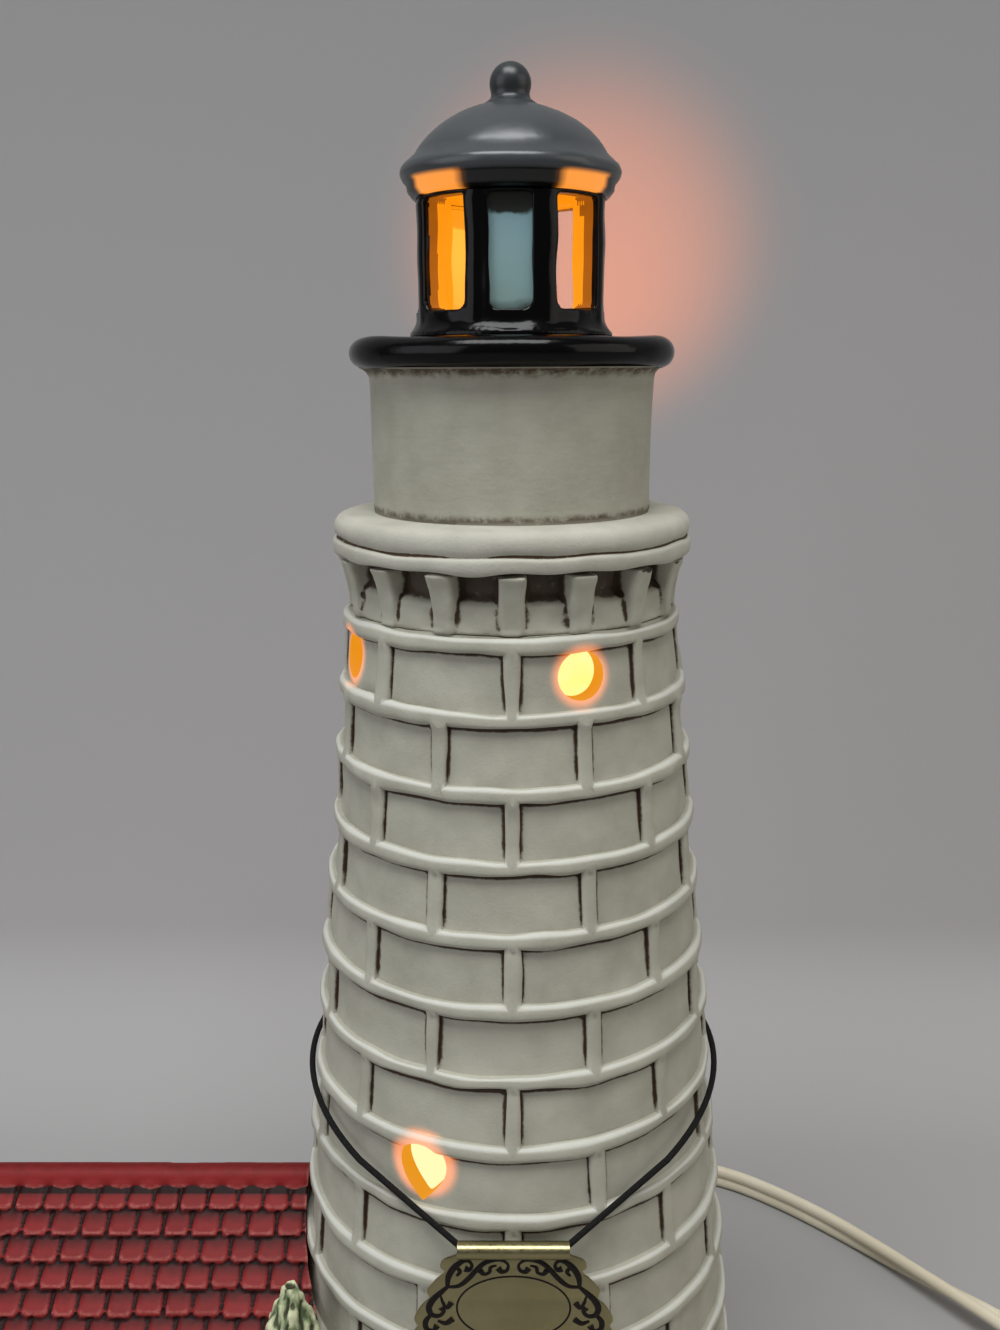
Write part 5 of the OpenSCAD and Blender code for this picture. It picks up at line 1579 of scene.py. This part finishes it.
# the places are the CAD's: shell bore 6.2 from z 15 to 35, cap 5.9 from z 21 to 36.4
threads("socket_shell", "socket_screw_shell", 6.55, 0.12, 15, 35)
threads("bulb_cap", "bulb_screw_cap", 5.65, 0.22, 21, 36.4)

# switch and plug
softened("switch_bottom", "switch_lower_half", 0.7, "switch_ivory", IVORY, segments=3)
softened("switch_top", "switch_upper_half", 0.7, "switch_ivory", IVORY, segments=3)
softened("switch_wheel", "knurled_thumb_wheel", 0.12, "wheel_ivory", WHEEL_IVORY, body="wheel", segments=1)
recoat("switch_contacts", BRASS)
softened("switch_screw", "switch_screw_slotted", 0.15, "spring_steel", STEEL)
softened("plug_blades", "plug_blade_pair", 0.2, "brass", BRASS)


def plug():
    """Moulded plug: a softened grip with cross ribs."""
    grip = copy_of("plug_body", "plug_grip")
    round_off(grip, 0.9, 3, 28)
    ribs = []
    for k in range(4):
        x, half = PLUG_X - 13 + 2.6 * k, 8.6 - 1.15 * k
        ribs.append(block("rib", (x, TAIL_Y - half, 1.2), (x + 1.3, TAIL_Y + half, 14.98), 0.5))
    piece = join("moulded_plug", ribs + [grip])
    smooth(piece, 40)
    finish(piece, ["plug_body"], "lead_ivory", IVORY)


plug()


# hang tag
def on_tag(x, y, z):
    """A place on the tag in mm: across, behind the fold's middle, above it."""
    return point(TOWER_X + x, -FOLD_Y + y * math.cos(LEAN) + z * math.sin(LEAN),
                 FOLD_Z - y * math.sin(LEAN) + z * math.cos(LEAN))


def wire(name, line, r, rounds, widths=None):
    """A round line through points in metres: a closed loop, or open with a width at each point."""
    data = bpy.data.curves.new(name, "CURVE")
    data.dimensions, data.bevel_depth, data.bevel_resolution = "3D", r * MM, rounds
    data.use_fill_caps = widths is not None
    spline = data.splines.new("POLY")
    spline.points.add(len(line) - 1)
    spline.use_cyclic_u = widths is None
    for spot, place, width in zip(spline.points, line, widths or [1.0] * len(line)):
        spot.co, spot.radius = (*place, 1), width
    piece = bpy.data.objects.new(name, data)
    bpy.context.collection.objects.link(piece)
    take(piece)
    bpy.ops.object.convert(target="MESH")
    piece = bpy.context.object
    piece.name = piece.data.name = name
    return piece


def scroll(points, widths):
    """A raised enamel line: it swells and thins as its widths say."""
    line = flowing(points, 5)
    at = np.linspace(0, len(widths) - 1, len(line))
    widths = list(np.interp(at, range(len(widths)), widths))
    piece = wire("scroll", [point(x, 0, z) for x, z in line], 1.0, 2, widths)
    for place in moving(piece):
        place[1] = place[1] * PRINT_FLAT + (FOLD_R - TAG_T - PRINT_PROUD) * MM
    return piece


TAG_H, PRINT_FLAT, PRINT_PROUD = 25.5, 0.3, 0.02
TAG_EDGE = [(0.5, -0.01), (0.5, 0.047), (0.63, 0.086), (0.66, 0.133), (0.62, 0.165), (0.7, 0.212),
            (0.78, 0.282), (0.76, 0.329), (0.84, 0.384), (0.9, 0.463), (0.87, 0.51), (0.93, 0.573),
            (0.93, 0.675), (0.86, 0.722), (0.84, 0.784)]
SCROLLS = [
    ([(2.3, -3.4), (1.8, -4.0), (1.0, -3.8), (0.8, -2.9), (1.6, -2.2), (2.8, -2.1), (4.3, -2.6), (5.5, -3.7),
      (6.8, -5.2), (8.2, -6.3), (9.9, -6.5)], (0.5, 0.3, 0.2, 0.34, 0.42, 0.4, 0.24)),
    ([(2.5, -3.0), (3.4, -3.3), (3.6, -4.1), (4.4, -4.4), (5.0, -3.8)], (0.16, 0.3, 0.26, 0.48)),
    ([(7.3, -3.5), (6.6, -3.7), (6.2, -3.0), (6.7, -2.3), (7.7, -2.4), (8.9, -3.4), (9.7, -4.8), (9.9, -6.5)],
     (0.55, 0.34, 0.24, 0.3, 0.5, 0.5, 0.3)),
    ([(8.6, -3.2), (8.0, -4.0), (8.5, -4.7)], (0.3, 0.34, 0.2)),
    ([(9.9, -6.5), (10.9, -7.4), (12.1, -8.6), (12.7, -9.9), (12.3, -11.0), (11.2, -11.2), (10.5, -10.5),
      (10.9, -9.8)], (0.3, 0.45, 0.52, 0.46, 0.36, 0.3, 0.5)),
    ([(9.3, -9.0), (10.0, -9.9), (10.6, -9.0), (10.9, -8.0)], (0.5, 0.3, 0.26, 0.16)),
    ([(12.4, -11.0), (13.2, -12.1), (13.1, -13.3), (12.1, -13.6), (11.5, -12.8)],
     (0.3, 0.44, 0.4, 0.3, 0.52)),
    ([(9.1, -11.7), (10.2, -12.4), (11.4, -12.0)], (0.5, 0.4, 0.2)),
    ([(1.2, -21.4), (3.0, -20.8), (5.2, -21.4), (7.4, -20.9), (8.6, -21.7)], (0.4, 0.22, 0.34, 0.22, 0.4)),
]
OVAL_A, OVAL_B, OVAL_Z = 8.5, 5.15, -9.9


def tag_outline():
    """The tag's edge in mm, down the right side, round the foot and up the left."""
    right = [(x * FOLD_W, -z * TAG_H) for x, z in flowing(TAG_EDGE, 4)]
    foot = []
    for a in range(60, -61, -8):
        t = math.radians(a)
        foot.append((0.7 * FOLD_W * math.sin(t) / math.sin(math.radians(60)),
                     -TAG_H * (0.808 + 0.192 * (math.cos(t) - 0.5) / 0.5)))
    return right + foot + [(-x, z) for x, z in reversed(right)]


def banner_outline():
    """The banner under the oval: its upper edge follows the oval, its lower one waves."""
    across = [-12.6 + 1.05 * k for k in range(25)]
    top = []
    for x in across:
        round_oval = 0.55 - OVAL_Z + OVAL_B * math.sqrt(max(0, 1 - (x / OVAL_A) ** 2))
        top.append((x, -max(13.7 + 0.3 * max(0, abs(x) - 8), round_oval)))
    return top + [(x, -19.4 + 0.5 * math.cos(math.radians(x * 14))) for x in reversed(across)]


def hang_tag():
    """Brass sheet rolled over the elastic, its edge scalloped, with black enamel scrolls and a bare oval."""
    back = FOLD_R - TAG_T
    plate = prism("plate", [(x, back, z) for x, z in tag_outline()], (0, TAG_T, 0))
    round_off(plate, 0.12, 2, 60)
    curl = arc(0, 0, FOLD_R, 0, 305, 22) + arc(0, 0, back, 305, 0, 22)
    roll = prism("roll", [(-FOLD_W / 2, y, z) for y, z in curl], (FOLD_W, 0, 0))
    prints = [scroll([(side * x, z) for x, z in points], widths)
              for points, widths in SCROLLS for side in (1, -1)]
    oval = [(OVAL_A * math.sin(math.radians(a)), OVAL_Z + OVAL_B * math.cos(math.radians(a)))
            for a in range(0, 361, 15)]
    prints.append(scroll(oval, (0.15, 0.15)))
    prints.append(prism("banner", [(x, 0.68, z) for x, z in banner_outline()], (0, 0.14, 0)))
    tag = join("brass_hang_tag", prints + [roll, plate])
    for place in moving(tag):
        place[:] = on_tag(*(place / MM))
    smooth(tag, 40)
    brass = metal("polished_tag_brass", "a39a76", "8f8660", 0.32, 0.2, stretch=(1, 1, 0.1))
    finish(tag, ["hang_tag"], "tag_brass", brass, enamel(), body="tag")

    def rule(place, normal):
        """1 on the print, which stands a little in front of the plate."""
        behind = (place.y + FOLD_Y) * math.cos(LEAN) - (place.z - FOLD_Z) * math.sin(LEAN)
        on_plate = place.z < FOLD_Z - 1.6 and place.y > -FOLD_Y - 3
        return 1 if on_plate and (behind < 0.77 or behind < 0.79 and abs(normal.y) < 0.9) else 0

    slots_by_place(tag, rule)


def enamel():
    """Black enamel print: thin, a little glossy, worn grey in specks."""
    look = Look("black_enamel_print")
    tone = look.ramp(look.noise(0.5, 3.0), (0.4, "0a0504"), (0.75, "1c100b"))
    return look.wear({"Base Color": tone, "Roughness": 0.4, "Specular IOR Level": 0.25})


def braid():
    """Black elastic covered in braid: matt, with the fine cross relief of its threads."""
    look = Look("black_covered_elastic")
    fine = look.noise(0.45, 2.0)
    return look.wear({"Base Color": look.ramp(fine, (0.35, "060505"), (0.7, "151413")),
                      "Normal": look.bump(fine, 0.7, 0.15), "Roughness": 0.85, "Specular IOR Level": 0.25})


def elastic():
    """Black covered elastic: out of the tag's roll, round the tower and up over its back."""
    half, steps = FOLD_W / 2, 80
    bow = math.degrees(math.atan((half + 1) / crest_r(FOLD_Z))) + 6
    line = [on_tag(x, 0, 0) for x in (-half + 1, 0, half - 1)]
    for k in range(steps + 1):
        a = 43 + 274 * k / steps
        back = max(0.0, 1 - abs(a - 180) / (180 - bow))
        z = FOLD_Z + 16 * math.sin(math.radians(90 * back ** 0.6))
        line.append(on_tower(a, crest_r(z) + 0.65, z))
    piece = wire("black_elastic_loop", line, 0.5, 3)
    smooth(piece)
    finish(piece, ["tag_elastic"], "elastic", braid())


hang_tag()
elastic()

json.dump({"cad": [list(c) for c in cad_box], "visual": [list(c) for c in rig.bounds()]},
          open("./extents.json", "w"))
